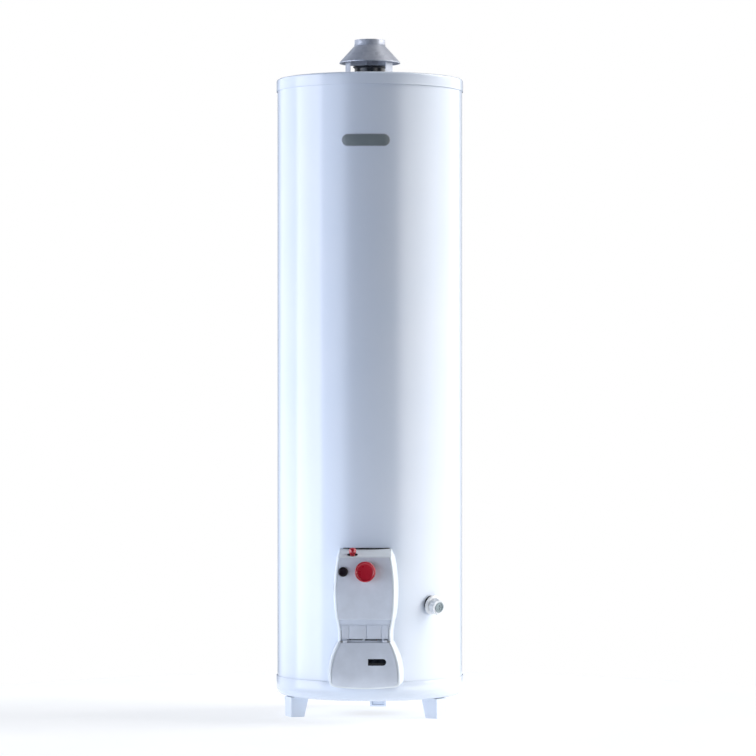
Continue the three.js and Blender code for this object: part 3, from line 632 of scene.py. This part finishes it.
def top_lid():
    """The flanged lid: a raised rim, a sunken floor, and holes for the pipes and the plug."""
    r, edge, sheet = LID_R, 6 * MM, 1.4 * MM
    hole = COLLAR_R + 1.2 * MM
    dish = 1.6 * MM
    crown, floor = LID_TOP - 0.2 * MM, LID_TOP - dish
    top = [(hole, crown), (hole + 12 * MM, crown), (hole + 15 * MM, floor), (r - 24 * MM, floor),
           (r - 20 * MM, LID_TOP), (r, LID_TOP), (r, LID_LOW + 1.2 * MM)]
    outer = fillet(top, [0, 1 * MM, 1 * MM, 2 * MM, 2 * MM, edge, 0], 8)
    hem = [(r, LID_LOW + 0.4 * MM), (r - 0.5 * MM, LID_LOW), (r - sheet, LID_LOW + 0.3 * MM)]
    inner = [(r - sheet, LID_TOP - edge), (r - edge, floor - sheet), (hole, floor - sheet)]
    lid = lathe("top_lid_shell", outer + hem + inner, 256)
    tools = []
    for node in ("cold_nipple", "hot_nipple", "anode_plug"):
        tool = rod("hole", 15.6 * MM, LID_TOP - 20 * MM, LID_TOP + 10 * MM)
        tools.append(moved(tool, middle(node, 0), middle(node, 1) - AXIS_Y, 0))
    cut(lid, *tools)
    piece(at_axis(lid), "enamel_white", replaces=["top_lid"])


def lid_grommets():
    """A soft ring in each of the lid's pipe holes."""
    outline = in_mm((13.7, -2), (13.7, 2.6), (17, 2.6), (19, 0.1), (15.3, 0.1), (15.3, -2))
    section = fillet(outline, 0.6 * MM, 4)
    for node in ("cold_nipple", "hot_nipple"):
        ring = lathe(node.replace("nipple", "grommet"), section, 48)
        moved(ring, middle(node, 0), middle(node, 1), LID_TOP - 1.6 * MM)
        piece(ring, "rubber_black")


def badge():
    """A plain raised plate without letters, with a bright rim."""
    low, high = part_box("badge")
    half_w, half_h = (high.x - low.x) / 2, (high.z - low.z) / 2
    mid_z = (low.z + high.z) / 2

    def plate(name, shrink, near, far):
        w, h = half_w - shrink, half_h - shrink
        ring = [(x + w - h, y) for x, y in circle(h, 20, -90, 90)]
        ring += [(x - w + h, y) for x, y in circle(h, 20, 90, 270)]
        body = extruded(name, ring, 1.0)
        low_z, high_z = mid_z - 30 * MM, mid_z + 30 * MM
        section = [(near, low_z), (far, low_z), (far, high_z), (near, high_z)]
        shell = lathe("badge_shell", section, 512)
        placed(body, Matrix.Translation((0, 0, mid_z)) @ FORWARD)
        cut(shell, body, operation="INTERSECT")
        shell.name = name
        return at_axis(bevel(shell, 0.3 * MM, 2, 60))

    rim = plate("badge_rim", 0, BODY_R + 0.2 * MM, BODY_R + 1.2 * MM)
    piece(rim, "galvanised", replaces=["badge"])
    face = plate("badge_face", 1.6 * MM, BODY_R + 0.25 * MM, BODY_R + 1.55 * MM)
    piece(face, "plastic_dark")


# ------------------------------ draft hood


def draft_hood():
    """The cone over the flue and the collar for the vent pipe, in one thin sheet."""
    sheet = 1.0 * MM
    collar = COLLAR_R
    lip = 2.4 * MM
    shoulder = 1664 * MM
    rim, brim = HOOD_TOP - 0.6 * MM, BRIM_R - sheet * 1.4
    outer = [(BRIM_R, HOOD_LOW), (BRIM_R, HOOD_LOW + lip), (collar, shoulder), (collar, rim)]
    outer = fillet(outer, [0, 1.2 * MM, 3 * MM, 0], 5)
    inner = [(collar - sheet, rim), (collar - sheet, shoulder - 0.8 * MM),
             (brim, HOOD_LOW + lip - 0.6 * MM), (brim, HOOD_LOW)]
    inner = fillet(inner, [0, 3 * MM, 1 * MM, 0], 5)
    crest = [(collar - sheet * 0.3, HOOD_TOP), (collar - sheet * 0.7, HOOD_TOP)]
    hood = lathe("draft_hood_cone", outer + crest + inner, 128)
    piece(at_axis(hood), "galvanised", replaces=["draft_hood"])


def hood_beads():
    """The rolled bead where the collar meets the cone, and the turned-under edge of the brim."""
    size = 1.1 * MM
    for name, radius, z in (
        ("collar_bead", COLLAR_R + 0.1 * MM, 1666 * MM),
        ("brim_bead", BRIM_R - size, HOOD_LOW + size),
    ):
        section = [(radius + x, z + y) for x, y in circle(size, 10)]
        piece(at_axis(lathe(name, section, 128)), "galvanised")


def flue_stub():
    """The black pipe between the lid and the hood, with a rolled rim."""
    inner = COLLAR_R - 2.0 * MM
    outline = [(COLLAR_R, FLUE_LOW), (COLLAR_R, FLUE_TOP - 5 * MM), (FLUE_RIM_R, FLUE_TOP - 1.6 * MM),
               (FLUE_RIM_R, FLUE_TOP), (inner, FLUE_TOP - 0.8 * MM), (inner, FLUE_LOW)]
    tube = lathe("flue_tube_sheet", fillet(outline, [0, 2 * MM, 0.8 * MM, 0.6 * MM, 0, 0], 4), 96)
    black = black_enamel_material()
    piece(at_axis(tube), "steel_tank", replaces=["flue_tube"], material=black)


def flue_collar():
    """A flat flashing ring on the lid round the flue."""
    z = LID_TOP - 0.2 * MM
    offsets = in_mm((0.4, 0), (0.4, 3), (1.4, 3), (1.8, 1.2), (9, 0.9), (9, 0))
    section = fillet([(COLLAR_R + out, z + up) for out, up in offsets], 0.5 * MM, 4)
    piece(at_axis(lathe("flue_flashing", section, 96)), "galvanised")


def strap_rivets():
    """Two rivets in each strap's foot, on the lid."""
    for side, azimuth in FOOT_AZIMUTHS.items():
        for k, x in enumerate((-8 * MM, 8 * MM)):
            low = LID_TOP + 1.9 * MM
            head = rod(f"strap_rivet_{side}_{k + 1}", 2.4 * MM, low, low + 1.3 * MM, 24, 1.0 * MM)
            piece(at_axis(moved(head, x, -68 * MM, 0), azimuth), "steel_plated")


# ------------------------------ front cover

COVER_TOP = 404.0      # all of this section is in millimetres until a point is placed
COVER_REAR_TOP = 421.0
COVER_LOW = 82.0
COVER_REAR = 226.0     # the reach of its rear edge, from the tank's axis
COVER_DEPTH = 60.0
FACE_REACH = 290.0     # the furthest reach of the belly and of the door
BELLY_PEAK = 332.0
FOOT_REACH = 262.0
FOOT_DROP = 40.0
BORDER = 5.5
DRAFT = 6.0
BELLY_TURN = 4.0
STRIP_TOP = 251.0
BELLY_LOW = STRIP_TOP + BELLY_TURN
STRIP_LOW = 204.0
STRIP_REACH = 271.0
STRIP_HALF = 57.0
FIELD_TOP = 238.0
DOOR_TOP = 196.5
DOOR_WIDEST = 118.0
WALL = 2.4
WALL_STEPS, WALL_BEND = 4, 7  # points along the border's side wall, and round its edge
DOOR_FOOT = COVER_LOW + BORDER
TOP_SLOPE = (COVER_REAR_TOP - COVER_TOP) / COVER_DEPTH


def face_reach(z):
    """Distance of the cover's face from the tank's axis at height z."""
    belly = FACE_REACH - 0.00116 * (max(z, BELLY_LOW) - BELLY_PEAK) ** 2
    if z > BELLY_LOW:
        return belly
    if z > STRIP_TOP:
        return belly - BELLY_TURN + math.sqrt(BELLY_TURN ** 2 - (BELLY_LOW - z) ** 2)
    if z > DOOR_TOP:
        return STRIP_REACH
    if z > DOOR_WIDEST:
        return FACE_REACH - 0.00214 * (z - DOOR_WIDEST) ** 2
    rounding = math.sqrt(max(0.0, 1 - ((DOOR_WIDEST - z) / FOOT_DROP) ** 2))
    return FOOT_REACH + (FACE_REACH - FOOT_REACH) * rounding


def panel_half(z):
    """Half the width of the grey panels: a bell above, a waist, and a flared door."""
    if z > DOOR_TOP:
        return max(57.6, 67.4 - 0.00112 * (z - 318) ** 2)
    return 80 - 0.00355 * (max(z, DOOR_WIDEST) - DOOR_WIDEST) ** 2


def rounded_foot(half, z, foot, radius):
    """The same width drawn in near the foot, so that the lower corners are round."""
    rise = min(max(z - foot, 0.0), radius)
    return half - radius + math.sqrt(max(0.0, radius ** 2 - (radius - rise) ** 2))


def sagged(x, z):
    """The cover's lower edges curve up a little toward the sides."""
    near = min(max((130 - z) / 48, 0.0), 1.0)
    return z + 6 * (x / 81) ** 2 * near


def metres(x, reach, z):
    """A point of this section, in millimetres, placed in the frame."""
    return (x * MM, AXIS_Y - reach * MM, sagged(x, z) * MM)


def top_height(reach):
    """Height of the cover's sloping top, which falls toward the front."""
    return COVER_TOP + (face_reach(COVER_TOP) - reach) * TOP_SLOPE


def face_profile():
    """(reach, z) of the cover's side view from its rear top edge down to its rear foot."""
    top_front = face_reach(COVER_TOP)
    belly = [(face_reach(z), z) for z in steps_between(396, BELLY_LOW, 40)]
    belly += [(face_reach(z), z) for z in steps_between(BELLY_LOW - 0.5, STRIP_TOP + 0.5, 6)]
    door = [(face_reach(z), z) for z in steps_between(DOOR_TOP - 2, DOOR_WIDEST, 26)]
    foot = [(face_reach(z), z) for z in steps_between(DOOR_WIDEST - 2, COVER_LOW + 4, 14)]
    points = [(r, top_height(r)) for r in [COVER_REAR] + steps_between(232, 276, 10)]
    points += [(top_front, COVER_TOP)] + belly
    points += [(face_reach(STRIP_TOP + 0.01), STRIP_TOP), (STRIP_REACH, STRIP_TOP - 0.5)]
    points += [(STRIP_REACH, z) for z in steps_between(STRIP_TOP - 4, DOOR_TOP + 3, 12)]
    points += [(STRIP_REACH, DOOR_TOP + 0.5), (face_reach(DOOR_TOP), DOOR_TOP)] + door + foot
    points += [(FOOT_REACH, COVER_LOW + 0.4), (240, COVER_LOW - 0.6), (234, COVER_LOW - 0.9)]
    radii = [0.0] * len(points)
    radii[points.index((top_front, COVER_TOP))] = 5.0
    radii[-3] = 6.0
    return fillet(points, radii, 6)


def cover_section(reach, z):
    """One horizontal section of the white frame's outer skin, from the jacket round the front."""
    half = rounded_foot(panel_half(z) + BORDER, z, COVER_LOW - 2, 17)
    corner = min(4.5, max(reach - COVER_REAR - 10, 0.6))
    opening = rounded_foot(panel_half(z), z, DOOR_FOOT, 12) if z < 140 else panel_half(z)
    opening = min(opening, half - corner - 0.2)
    depth = (reach - COVER_REAR) / COVER_DEPTH
    back_half = half + DRAFT * max(depth, 0.05)
    behind = LID_R if z < PAN_RIM / MM + 4 else BODY_R  # the pan's rim is as wide as the lid
    back = min(math.sqrt((behind / MM + 0.6) ** 2 - back_half ** 2), reach - 0.5)
    side = reach - corner
    wall = [(back_half + (half - back_half) * t, back + (side - back) * t)
            for t in (i / WALL_STEPS for i in range(WALL_STEPS))]
    bend = [(half - corner + x, side + y) for x, y in circle(corner, WALL_BEND - 1, 0, 90)]
    across = [(x, reach) for x in steps_between(opening, 0, 14)]
    right = wall + bend + across
    left = [(-x, r) for x, r in reversed(right[:-1])]
    return [metres(x, r, z) for x, r in right + left]


def cover_frame():
    """The white moulding: a drafted border round the grey panels and a sloping top."""
    profile = face_profile()
    rows = [cover_section(r, z) for r, z in profile]
    border = WALL_STEPS + WALL_BEND  # columns from the jacket to the border's inner edge
    total = len(rows[0]) - 1

    def opening(row, column):
        z = (profile[row][1] + profile[row + 1][1]) / 2
        across = border <= column < total - border
        return across and DOOR_FOOT < z < COVER_TOP - 3 and profile[row][0] > 240

    skin = thicken(grid("cover_frame_moulding", rows, skip=opening), WALL * MM)
    pocket = moved(rod("pocket", 13 * MM, 0, 40 * MM), PILOT_X, PILOT_Y, (COVER_TOP - 1) * MM)
    inlet = rod("inlet", 13 * MM, 40 * MM, 120 * MM)
    to_left = Matrix.Rotation(math.radians(-90), 4, "Y")
    placed(inlet, Matrix.Translation((0, AXIS_Y - 236 * MM, 328 * MM)) @ to_left)
    cut(skin, pocket, inlet)
    bevel(skin, 0.45 * MM, 2, 50)
    piece(skin, "plastic_white", replaces=["cover_frame"], sharp=38)


def cover_shadow_strip():
    """A soft strip that closes the gap between the cover's rear top edge and the jacket; its black is painted
    shadow of that gap.
    """
    low, high = (COVER_REAR_TOP - 5) * MM, (COVER_REAR_TOP + 1.4) * MM
    near, far, edge = BODY_R + 0.2 * MM, BODY_R + 2.6 * MM, 0.8 * MM
    rows = []
    for azimuth in steps_between(-13.6, 14.4, 40):
        a = math.radians(azimuth)
        section = ((near, low), (far, low), (far, high - edge), (far - edge, high), (near, high))
        rows.append([(r * math.sin(a), AXIS_Y - r * math.cos(a), z) for r, z in section])
    # rubber_black on this strip is painted shadow along the cover's rear top edge
    piece(capped(grid("cover_shadow_strip", rows, close=True)), "rubber_black")


def pilot_pocket():
    """The round cup in the sloping top, in which the pilot button stands. Its rim slopes too. Its black is painted
    shade of the recess.
    """
    floor = COVER_TOP - 4.5
    rows = []
    for radius, height in ((12.95, None), (12.6, None), (12.2, floor + 1.2), (11, floor),
                           (7.3, floor), (7.3, floor - 2)):
        ring = []
        for x, y in circle(radius * MM, 48):
            rim = top_height((AXIS_Y - PILOT_Y - y) / MM) - 0.2
            ring.append((PILOT_X + x, PILOT_Y + y, (rim if height is None else height) * MM))
        rows.append(ring)
    # plastic_black here is painted shade inside the recess round the button
    piece(grid("pilot_pocket", rows, close=True), "plastic_black")


def panel_rows(heights, gap, reach_of=face_reach, foot=None, columns=28, crown=0.5):
    """Rows of points across a grey panel, gap inside the frame's opening on each side."""
    rows = []
    for z in heights:
        half = panel_half(z) - gap
        if foot is not None:
            half = rounded_foot(panel_half(z), z, foot, 12) - gap
        rows.append([metres(x, reach_of(z) + crown * (1 - (x / half) ** 2), z)
                     for x in steps_between(half, -half, columns)])
    return rows


def face_panel():
    """The upper grey face, which turns in under its belly to meet the recessed strip."""
    heights = steps_between(COVER_TOP - 3.4, BELLY_LOW, 40)
    heights += steps_between(BELLY_LOW - 0.5, STRIP_TOP + 0.4, 8)
    rows = panel_rows(heights, 0.35)
    rows += panel_rows([STRIP_TOP + 0.35], 0.35, lambda z: STRIP_REACH + 5)
    rows += panel_rows([STRIP_TOP + 0.3], 0.35, lambda z: STRIP_REACH - 0.6)
    face = thicken(grid("face_panel_moulding", rows), WALL * MM)
    near, far = 250 * MM, 330 * MM
    knob_hole = on_front(rod("knob_hole", 8 * MM, near, far), KNOB_X, KNOB_Z)
    igniter_hole = rod("igniter_hole", IGNITER_R + 0.6 * MM, near, far, 64)
    cut(face, knob_hole, on_front(igniter_hole, IGNITER_X, IGNITER_Z))
    bevel(face, 0.4 * MM, 2, 55)
    piece(face, "plastic_grey", replaces=["face_panel"], sharp=38)


def louvre_panel():
    """The recessed strip: raised fields, with dark finger slots along its foot."""
    low, high = DOOR_TOP - 3.5, STRIP_TOP - 0.3
    front, back = STRIP_REACH - 1.4, STRIP_REACH - 4.4
    rows = panel_rows(steps_between(high, low, 30), 0.6, lambda z: front, columns=2, crown=0)
    plate = thicken(grid("louvre_plate", rows), (front - back) * MM)
    slots = []
    for left, right, foot in ((-43, -5, 201.6), (0, 41, 200.6), (46, 55, 200.9)):
        corners = metres(left, front + 5, foot), metres(right, back - 5, STRIP_LOW)
        slots.append(box_tool("slot", *corners))
    cut(plate, *slots)
    piece(bevel(plate, 0.4 * MM, 3), "plastic_grey", replaces=["louvre_panel"])
    edges = (-STRIP_HALF, -38.5, 3.5, 39.5, STRIP_HALF)
    for i in range(4):
        field = box_tool(f"louvre_field_{i + 1}", metres(edges[i] + 0.9, STRIP_REACH, STRIP_LOW + 1.2),
                         metres(edges[i + 1] - 0.9, front - 0.2, FIELD_TOP))
        piece(bevel(field, 0.9 * MM, 4), "plastic_grey")


def access_door():
    """The flared lower door, dished toward its foot, with the sight slot cut through it."""
    heights = [DOOR_TOP - 0.8, DOOR_TOP - 1.6] + steps_between(DOOR_TOP - 4, DOOR_FOOT + 12, 40)
    heights += [DOOR_FOOT + 12 - d for d in (1, 2, 3.2, 4.5, 6, 7.5, 9, 10.4, 11.3, 11.8)]
    door = thicken(grid("access_door_moulding", panel_rows(heights, 0.8, foot=DOOR_FOOT)), WALL * MM)
    low, high, radius = 141.5, 157.5, 8.0
    end = [(52 - radius + x, low + radius + y) for x, y in circle(radius, 18, -90, 90)]
    ring = [(8, low)] + end + [(8, high)]
    slot = extruded("sight_slot", in_mm(*ring), 80 * MM)
    placed(slot, Matrix.Translation((0, AXIS_Y - 250 * MM, 0)) @ FORWARD)
    cut(door, slot)
    bevel(door, 0.5 * MM, 2, 50)
    piece(door, "plastic_grey", "door", replaces=["access_door"], sharp=38)
    for side, x in (("left", -53), ("right", 43)):
        barrel = rod(f"door_knuckle_{side}", 3.0 * MM, 0, 10 * MM, 32, 0.5 * MM)
        to_right = Matrix.Rotation(math.radians(90), 4, "Y")
        placed(barrel, Matrix.Translation((x * MM, HINGE.y, HINGE.z)) @ to_right)
        piece(barrel, "plastic_grey", "door")


def sight_glass():
    low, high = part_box("sight_window")
    pane = box_tool("sight_glass_pane", low, high)
    piece(bevel(pane, 0.5 * MM, 3), "glass_dark", "door", replaces=["sight_window"])


# ------------------------------ knob and buttons


def control_knob():
    """A round knob with a raised rim round its dished front, on a shaft."""
    r, front = KNOB_R / MM, KNOB_FRONT / MM
    back = front - 19.8
    shaft = back - 25
    outline = in_mm((0, shaft), (4, shaft), (4, back), (r - 1.2, back), (r, back + 1.6),
                    (r - 0.3, front - 1.5), (r - 1.8, front), (r - 4.2, front - 0.2),
                    (r - 5.6, front - 1.8), (0, front - 2.8))
    radii = [v * MM for v in (0, 0, 1, 0.8, 0.8, 2.4, 2.0, 1.6, 2, 0)]
    knob = lathe("control_knob_moulding", fillet(outline, radii, 8), 128, closed=False)
    piece(on_front(knob, KNOB_X, KNOB_Z), "plastic_red", "knob", replaces=["control_knob"])


def knob_ring():
    """A thin grey skirt on the face behind the knob."""
    face = face_reach(KNOB_Z / MM) + 0.1
    outline = in_mm((9, face - 1), (9, face + 0.7), (16, face + 0.7), (17, face - 1))
    section = fillet(outline, 0.4 * MM, 3)
    piece(on_front(lathe("knob_seat", section, 64), KNOB_X, KNOB_Z), "plastic_grey")


def igniter_button():
    """A round button with a hollow in its front, on a thinner stem."""
    r, front = IGNITER_R / MM, IGNITER_FRONT / MM
    stem, shoulder, hollow = front - 33, front - 16, front - 1.2
    outline = in_mm((0, stem), (4, stem), (4, shoulder), (r, shoulder), (r, hollow),
                    (r - 2.4, front), (0, hollow))
    radii = [v * MM for v in (0, 0, 0.5, 0.6, 1.6, 2, 0)]
    cap = lathe("igniter_button_cap", fillet(outline, radii, 6), 96, closed=False)
    on_front(cap, IGNITER_X, IGNITER_Z)
    piece(cap, "plastic_black", "igniter_plunger", replaces=["igniter_button"])


def pilot_button():
    """A round head with a narrow neck, on a stem that goes down into the valve."""
    low, top = PILOT_LOW / MM, PILOT_TOP / MM
    stem, foot = 2.5, top - 22.5
    outline = in_mm((0, low), (stem, low), (stem, foot), (6.4, foot), (6.4, foot + 3.5),
                    (5.4, top - 17), (9.2, top - 12), (8.8, top - 3.5), (4, top), (0, top))
    radii = [v * MM for v in (0, 0, 0.3, 0.8, 1.2, 1.6, 4, 4, 1.6, 0)]
    cap = lathe("pilot_button_cap", fillet(outline, radii, 6), 64, closed=False)
    moved(cap, PILOT_X, PILOT_Y, 0)
    piece(cap, "plastic_red", "pilot_plunger", replaces=["pilot_button"])


# ------------------------------ drain valve


def drain_gasket():
    """A ring of rubber between the valve's flange and the curved jacket."""
    outline = in_mm((11.2, -8), (21, -8), (21, 5.1), (11.2, 5.1))
    ring = on_drain(lathe("drain_gasket_ring", fillet(outline, 0.8 * MM, 4), 72))
    cut(ring, at_axis(rod("core", BODY_R + 0.1 * MM, 200 * MM, 360 * MM, 256)))
    piece(ring, "rubber_black", replaces=["drain_gasket"])


def drain_body():
    """The valve's round flange, which bears on the gasket."""
    outline = in_mm((11, 5.4), (24.4, 5.4), (24.4, 8.2), (20.5, 10.8), (14, 11.6), (11, 11.6))
    radii = [v * MM for v in (0, 0.8, 1.2, 2, 0.6, 0)]
    body = lathe("drain_valve_body", fillet(outline, radii, 5), 96)
    piece(on_drain(body), "plastic_white", replaces=["drain_body"], material=DRAIN_WHITE_LIT)


def drain_handwheel():
    """A scalloped ring, softly rounded front and back, that turns about the outlet."""
    lobes, steps = 8, 16
    ring = []
    for i in range(lobes * steps):
        angle = 2 * math.pi * i / (lobes * steps)
        radius = (18.5 + 1.0 * math.cos(lobes * angle) - 0.25 * math.cos(2 * lobes * angle)) * MM
        ring.append((radius * math.cos(angle), radius * math.sin(angle)))
    wheel = extruded("drain_handwheel_moulding", ring, 15.8 * MM, [circle(12.2 * MM, 64)])
    moved(wheel, 0, 0, 14.5 * MM)
    bevel(wheel, 1.8 * MM, 5, 50)
    piece(on_drain(wheel), "plastic_white", "drain_wheel", ["drain_handwheel"], 40, DRAIN_WHITE_LIT)


def drain_outlet():
    """The outlet's rim, and the slotted valve seat just inside it."""
    outline = in_mm((9.4, 18.4), (11.4, 18.4), (11.4, 30.8), (13, 30.8), (13, 32.1),
                    (12.4, 32.5), (9.8, 32.5), (9.4, 32))
    tube = lathe("drain_outlet_tube", fillet(outline, 0.4 * MM, 4), 72)
    piece(on_drain(tube), "plastic_dark", replaces=["drain_outlet"], material=OUTLET_GREY)
    plug = in_mm((0, 26), (9.2, 26), (9.2, 30.4), (7.6, 31.2), (0, 31.4))
    seat = lathe("drain_seat", fillet(plug, 0.8 * MM, 4), 48, closed=False)
    slots = [box_tool("slot", *in_mm((-w, -h, 29), (w, h, 40))) for w, h in ((1.3, 6), (6, 1.3))]
    cut(tidy_mesh(seat), *slots)
    piece(on_drain(seat), "plastic_dark", material=OUTLET_GREY)


# ------------------------------ CAD nodes that stay


def keep_cad_nodes():
    """Every CAD node still shown keeps its shape, with softened edges and its slot's finish."""
    slots = {row["node"]: row["material_slot"] for row in frame["record"]["subparts"]}
    widths = {"gas_valve_body": 1.5}
    for side in FOOT_AZIMUTHS:
        widths[f"hood_strap_{side}"] = 0.5
        widths[f"leg_{side}"] = 2.2
    round_wires = ("burner_tube", "pilot_tube", "thermocouple", "igniter_lead")
    for name, obj in frame["nodes"].items():
        obj.data.materials.clear()
        obj.data.materials.append(MATERIALS[slots[name]])
        for polygon in obj.data.polygons:
            polygon.use_smooth = True
        if name in round_wires:
            step = obj.modifiers.new("round", "SUBSURF")
            step.levels = step.render_levels = 1
            continue
        step = obj.modifiers.new("edges", "BEVEL")
        step.width = widths.get(name, 0.4) * MM
        step.segments = 3
        step.limit_method = "ANGLE"
        step.angle_limit = math.radians(50)
        step.harden_normals = True


# ------------------------------ stage, lights, camera


def stage():
    """A pale, softly glowing floor disc, as bright as the background it runs into."""
    radius, steps = 1.3, 96
    ring = [(x, y, 0) for x, y in circle(radius, steps)]
    disc = mesh_object("floor_disc", ring, [tuple(range(steps))])
    s = Shader("floor_pale")
    s.set(Roughness=0.9, Emission_Strength=0.74)
    s.surface.inputs["Emission Color"].default_value = (0.98, 1, 1.03, 1)
    s.colour(s.ramp(s.noise(3, 3), 0.3, 0.7, (0.28, 0.29, 0.30), (0.32, 0.32, 0.33)))
    disc.data.materials.append(s.material)


class Sky:
    """A world whose light depends only on direction: azimuth (0 is the front) and rise."""

    def __init__(self):
        world = bpy.data.worlds.new("studio")
        bpy.context.scene.world = world
        world.use_nodes = True
        self.nodes, self.links = world.node_tree.nodes, world.node_tree.links
        self.nodes.clear()
        parts = self.nodes.new("ShaderNodeSeparateXYZ")
        place = self.nodes.new("ShaderNodeTexCoord")
        self.links.new(place.outputs["Generated"], parts.inputs["Vector"])
        self.rise = parts.outputs["Z"]
        front = self.math("MULTIPLY", parts.outputs["Y"], -1.0)
        turn = self.math("ARCTAN2", parts.outputs["X"], front)
        self.azimuth = self.math("MULTIPLY", turn, 180 / math.pi)
        self.total = None

    def math(self, operation, *values):
        node = self.nodes.new("ShaderNodeMath")
        node.operation = operation
        for socket, value in zip(node.inputs, values):
            if isinstance(value, (int, float)):
                socket.default_value = value
            else:
                self.links.new(value, socket)
        return node.outputs[0]

    def ramp(self, value, start, end):
        node = self.nodes.new("ShaderNodeMapRange")
        node.interpolation_type = "SMOOTHSTEP"
        self.links.new(value, node.inputs["Value"])
        node.inputs["From Min"].default_value = start
        node.inputs["From Max"].default_value = end
        return node.outputs["Result"]

    def band(self, value, low, high, soft):
        """1 between low and high, 0 outside, with soft edges."""
        rising = self.ramp(value, low - soft, low + soft)
        return self.math("MULTIPLY", rising, self.ramp(value, high + soft, high - soft))

    def add(self, shape, level, colour):
        """Adds a light: a mask over all directions times its level and colour."""
        node = self.nodes.new("ShaderNodeVectorMath")
        node.operation = "SCALE"
        node.inputs[0].default_value = tuple(level * c for c in colour)
        self.links.new(shape, node.inputs["Scale"])
        light = node.outputs[0]
        if self.total is not None:
            both = self.nodes.new("ShaderNodeVectorMath")
            self.links.new(self.total, both.inputs[0])
            self.links.new(light, both.inputs[1])
            light = both.outputs[0]
        self.total = light

    def panel(self, left, right, soft, low, high, level, colour):
        """A soft box from left to right in degrees and from low to high in rise."""
        across = self.band(self.azimuth, left, right, soft)
        shape = self.math("MULTIPLY", across, self.band(self.rise, low, high, 0.05))
        self.add(shape, level, colour)

    def finish(self):
        """The light as laid out, and plain white wherever the camera looks straight at it."""
        soft = self.nodes.new("ShaderNodeBackground")
        self.links.new(self.total, soft.inputs["Color"])
        seen = self.nodes.new("ShaderNodeBackground")
        seen.inputs["Color"].default_value = (1, 1, 1, 1)
        mix = self.nodes.new("ShaderNodeMixShader")
        path = self.nodes.new("ShaderNodeLightPath")
        self.links.new(path.outputs["Is Camera Ray"], mix.inputs["Fac"])
        self.links.new(soft.outputs["Background"], mix.inputs[1])
        self.links.new(seen.outputs["Background"], mix.inputs[2])
        output = self.nodes.new("ShaderNodeOutputWorld")
        self.links.new(mix.outputs["Shader"], output.inputs["Surface"])


def studio_sky():
    """Soft boxes at both sides, level ones and a raised one at the right, and a dim front."""
    sky = Sky()
    sky.panel(-100, -60, 4, -0.4, 0.4, 4.4, (0.97, 1.0, 1.08))
    sky.panel(-64, -27, 10, -0.16, 0.16, 2.9, (0.88, 1.0, 1.25))
    sky.panel(-145, -98, 8, -0.6, 0.6, 1.15, (0.96, 1.0, 1.08))
    sky.panel(96, 150, 3, -0.5, 0.5, 2.1, (1.0, 1.0, 1.0))
    sky.panel(40, 96, 10, -0.12, 0.12, 3.7, (1.0, 1.0, 1.0))
    sky.panel(76, 116, 5, 0.18, 0.87, 5.8, (1.03, 1.0, 0.97))
    behind = sky.ramp(sky.math("ABSOLUTE", sky.azimuth), 120, 140)
    sky.add(behind, 0.2, (0.98, 1.0, 1.04))
    everywhere = sky.ramp(sky.rise, -3, -2)  # rise is never below -1, so this is always 1
    sky.add(everywhere, 0.02, (0.8, 0.95, 1.3))
    sky.finish()


def camera():
    """Level, a little to the right of the cover, from far off with a long lens."""
    distance, height, azimuth = 8.28, 0.782, math.radians(2.5)
    data = bpy.data.cameras.new("camera")
    data.lens = 158.1
    data.sensor_width = 36
    data.shift_x = 0.0108
    data.shift_y = 0.0286
    data.clip_end = 100
    cam = bpy.data.objects.new("camera", data)
    bpy.context.scene.collection.objects.link(cam)
    cam.location = (distance * math.sin(azimuth), AXIS_Y - distance * math.cos(azimuth), height)
    cam.rotation_euler = (math.radians(90), 0, azimuth)
    bpy.context.scene.camera = cam


def look():
    scene = bpy.context.scene
    scene.view_settings.view_transform = "Standard"
    scene.view_settings.look = "None"


# ------------------------------ making it all

camera()
stage()
studio_sky()
look()
base_pan()
foot_webs()
jacket()
jacket_seam()
top_lid()
lid_grommets()
badge()
draft_hood()
hood_beads()
flue_stub()
flue_collar()
strap_rivets()
cover_frame()
cover_shadow_strip()
pilot_pocket()
face_panel()
louvre_panel()
access_door()
sight_glass()
control_knob()
knob_ring()
igniter_button()
pilot_button()
drain_gasket()
drain_body()
drain_handwheel()
drain_outlet()
keep_cad_nodes()
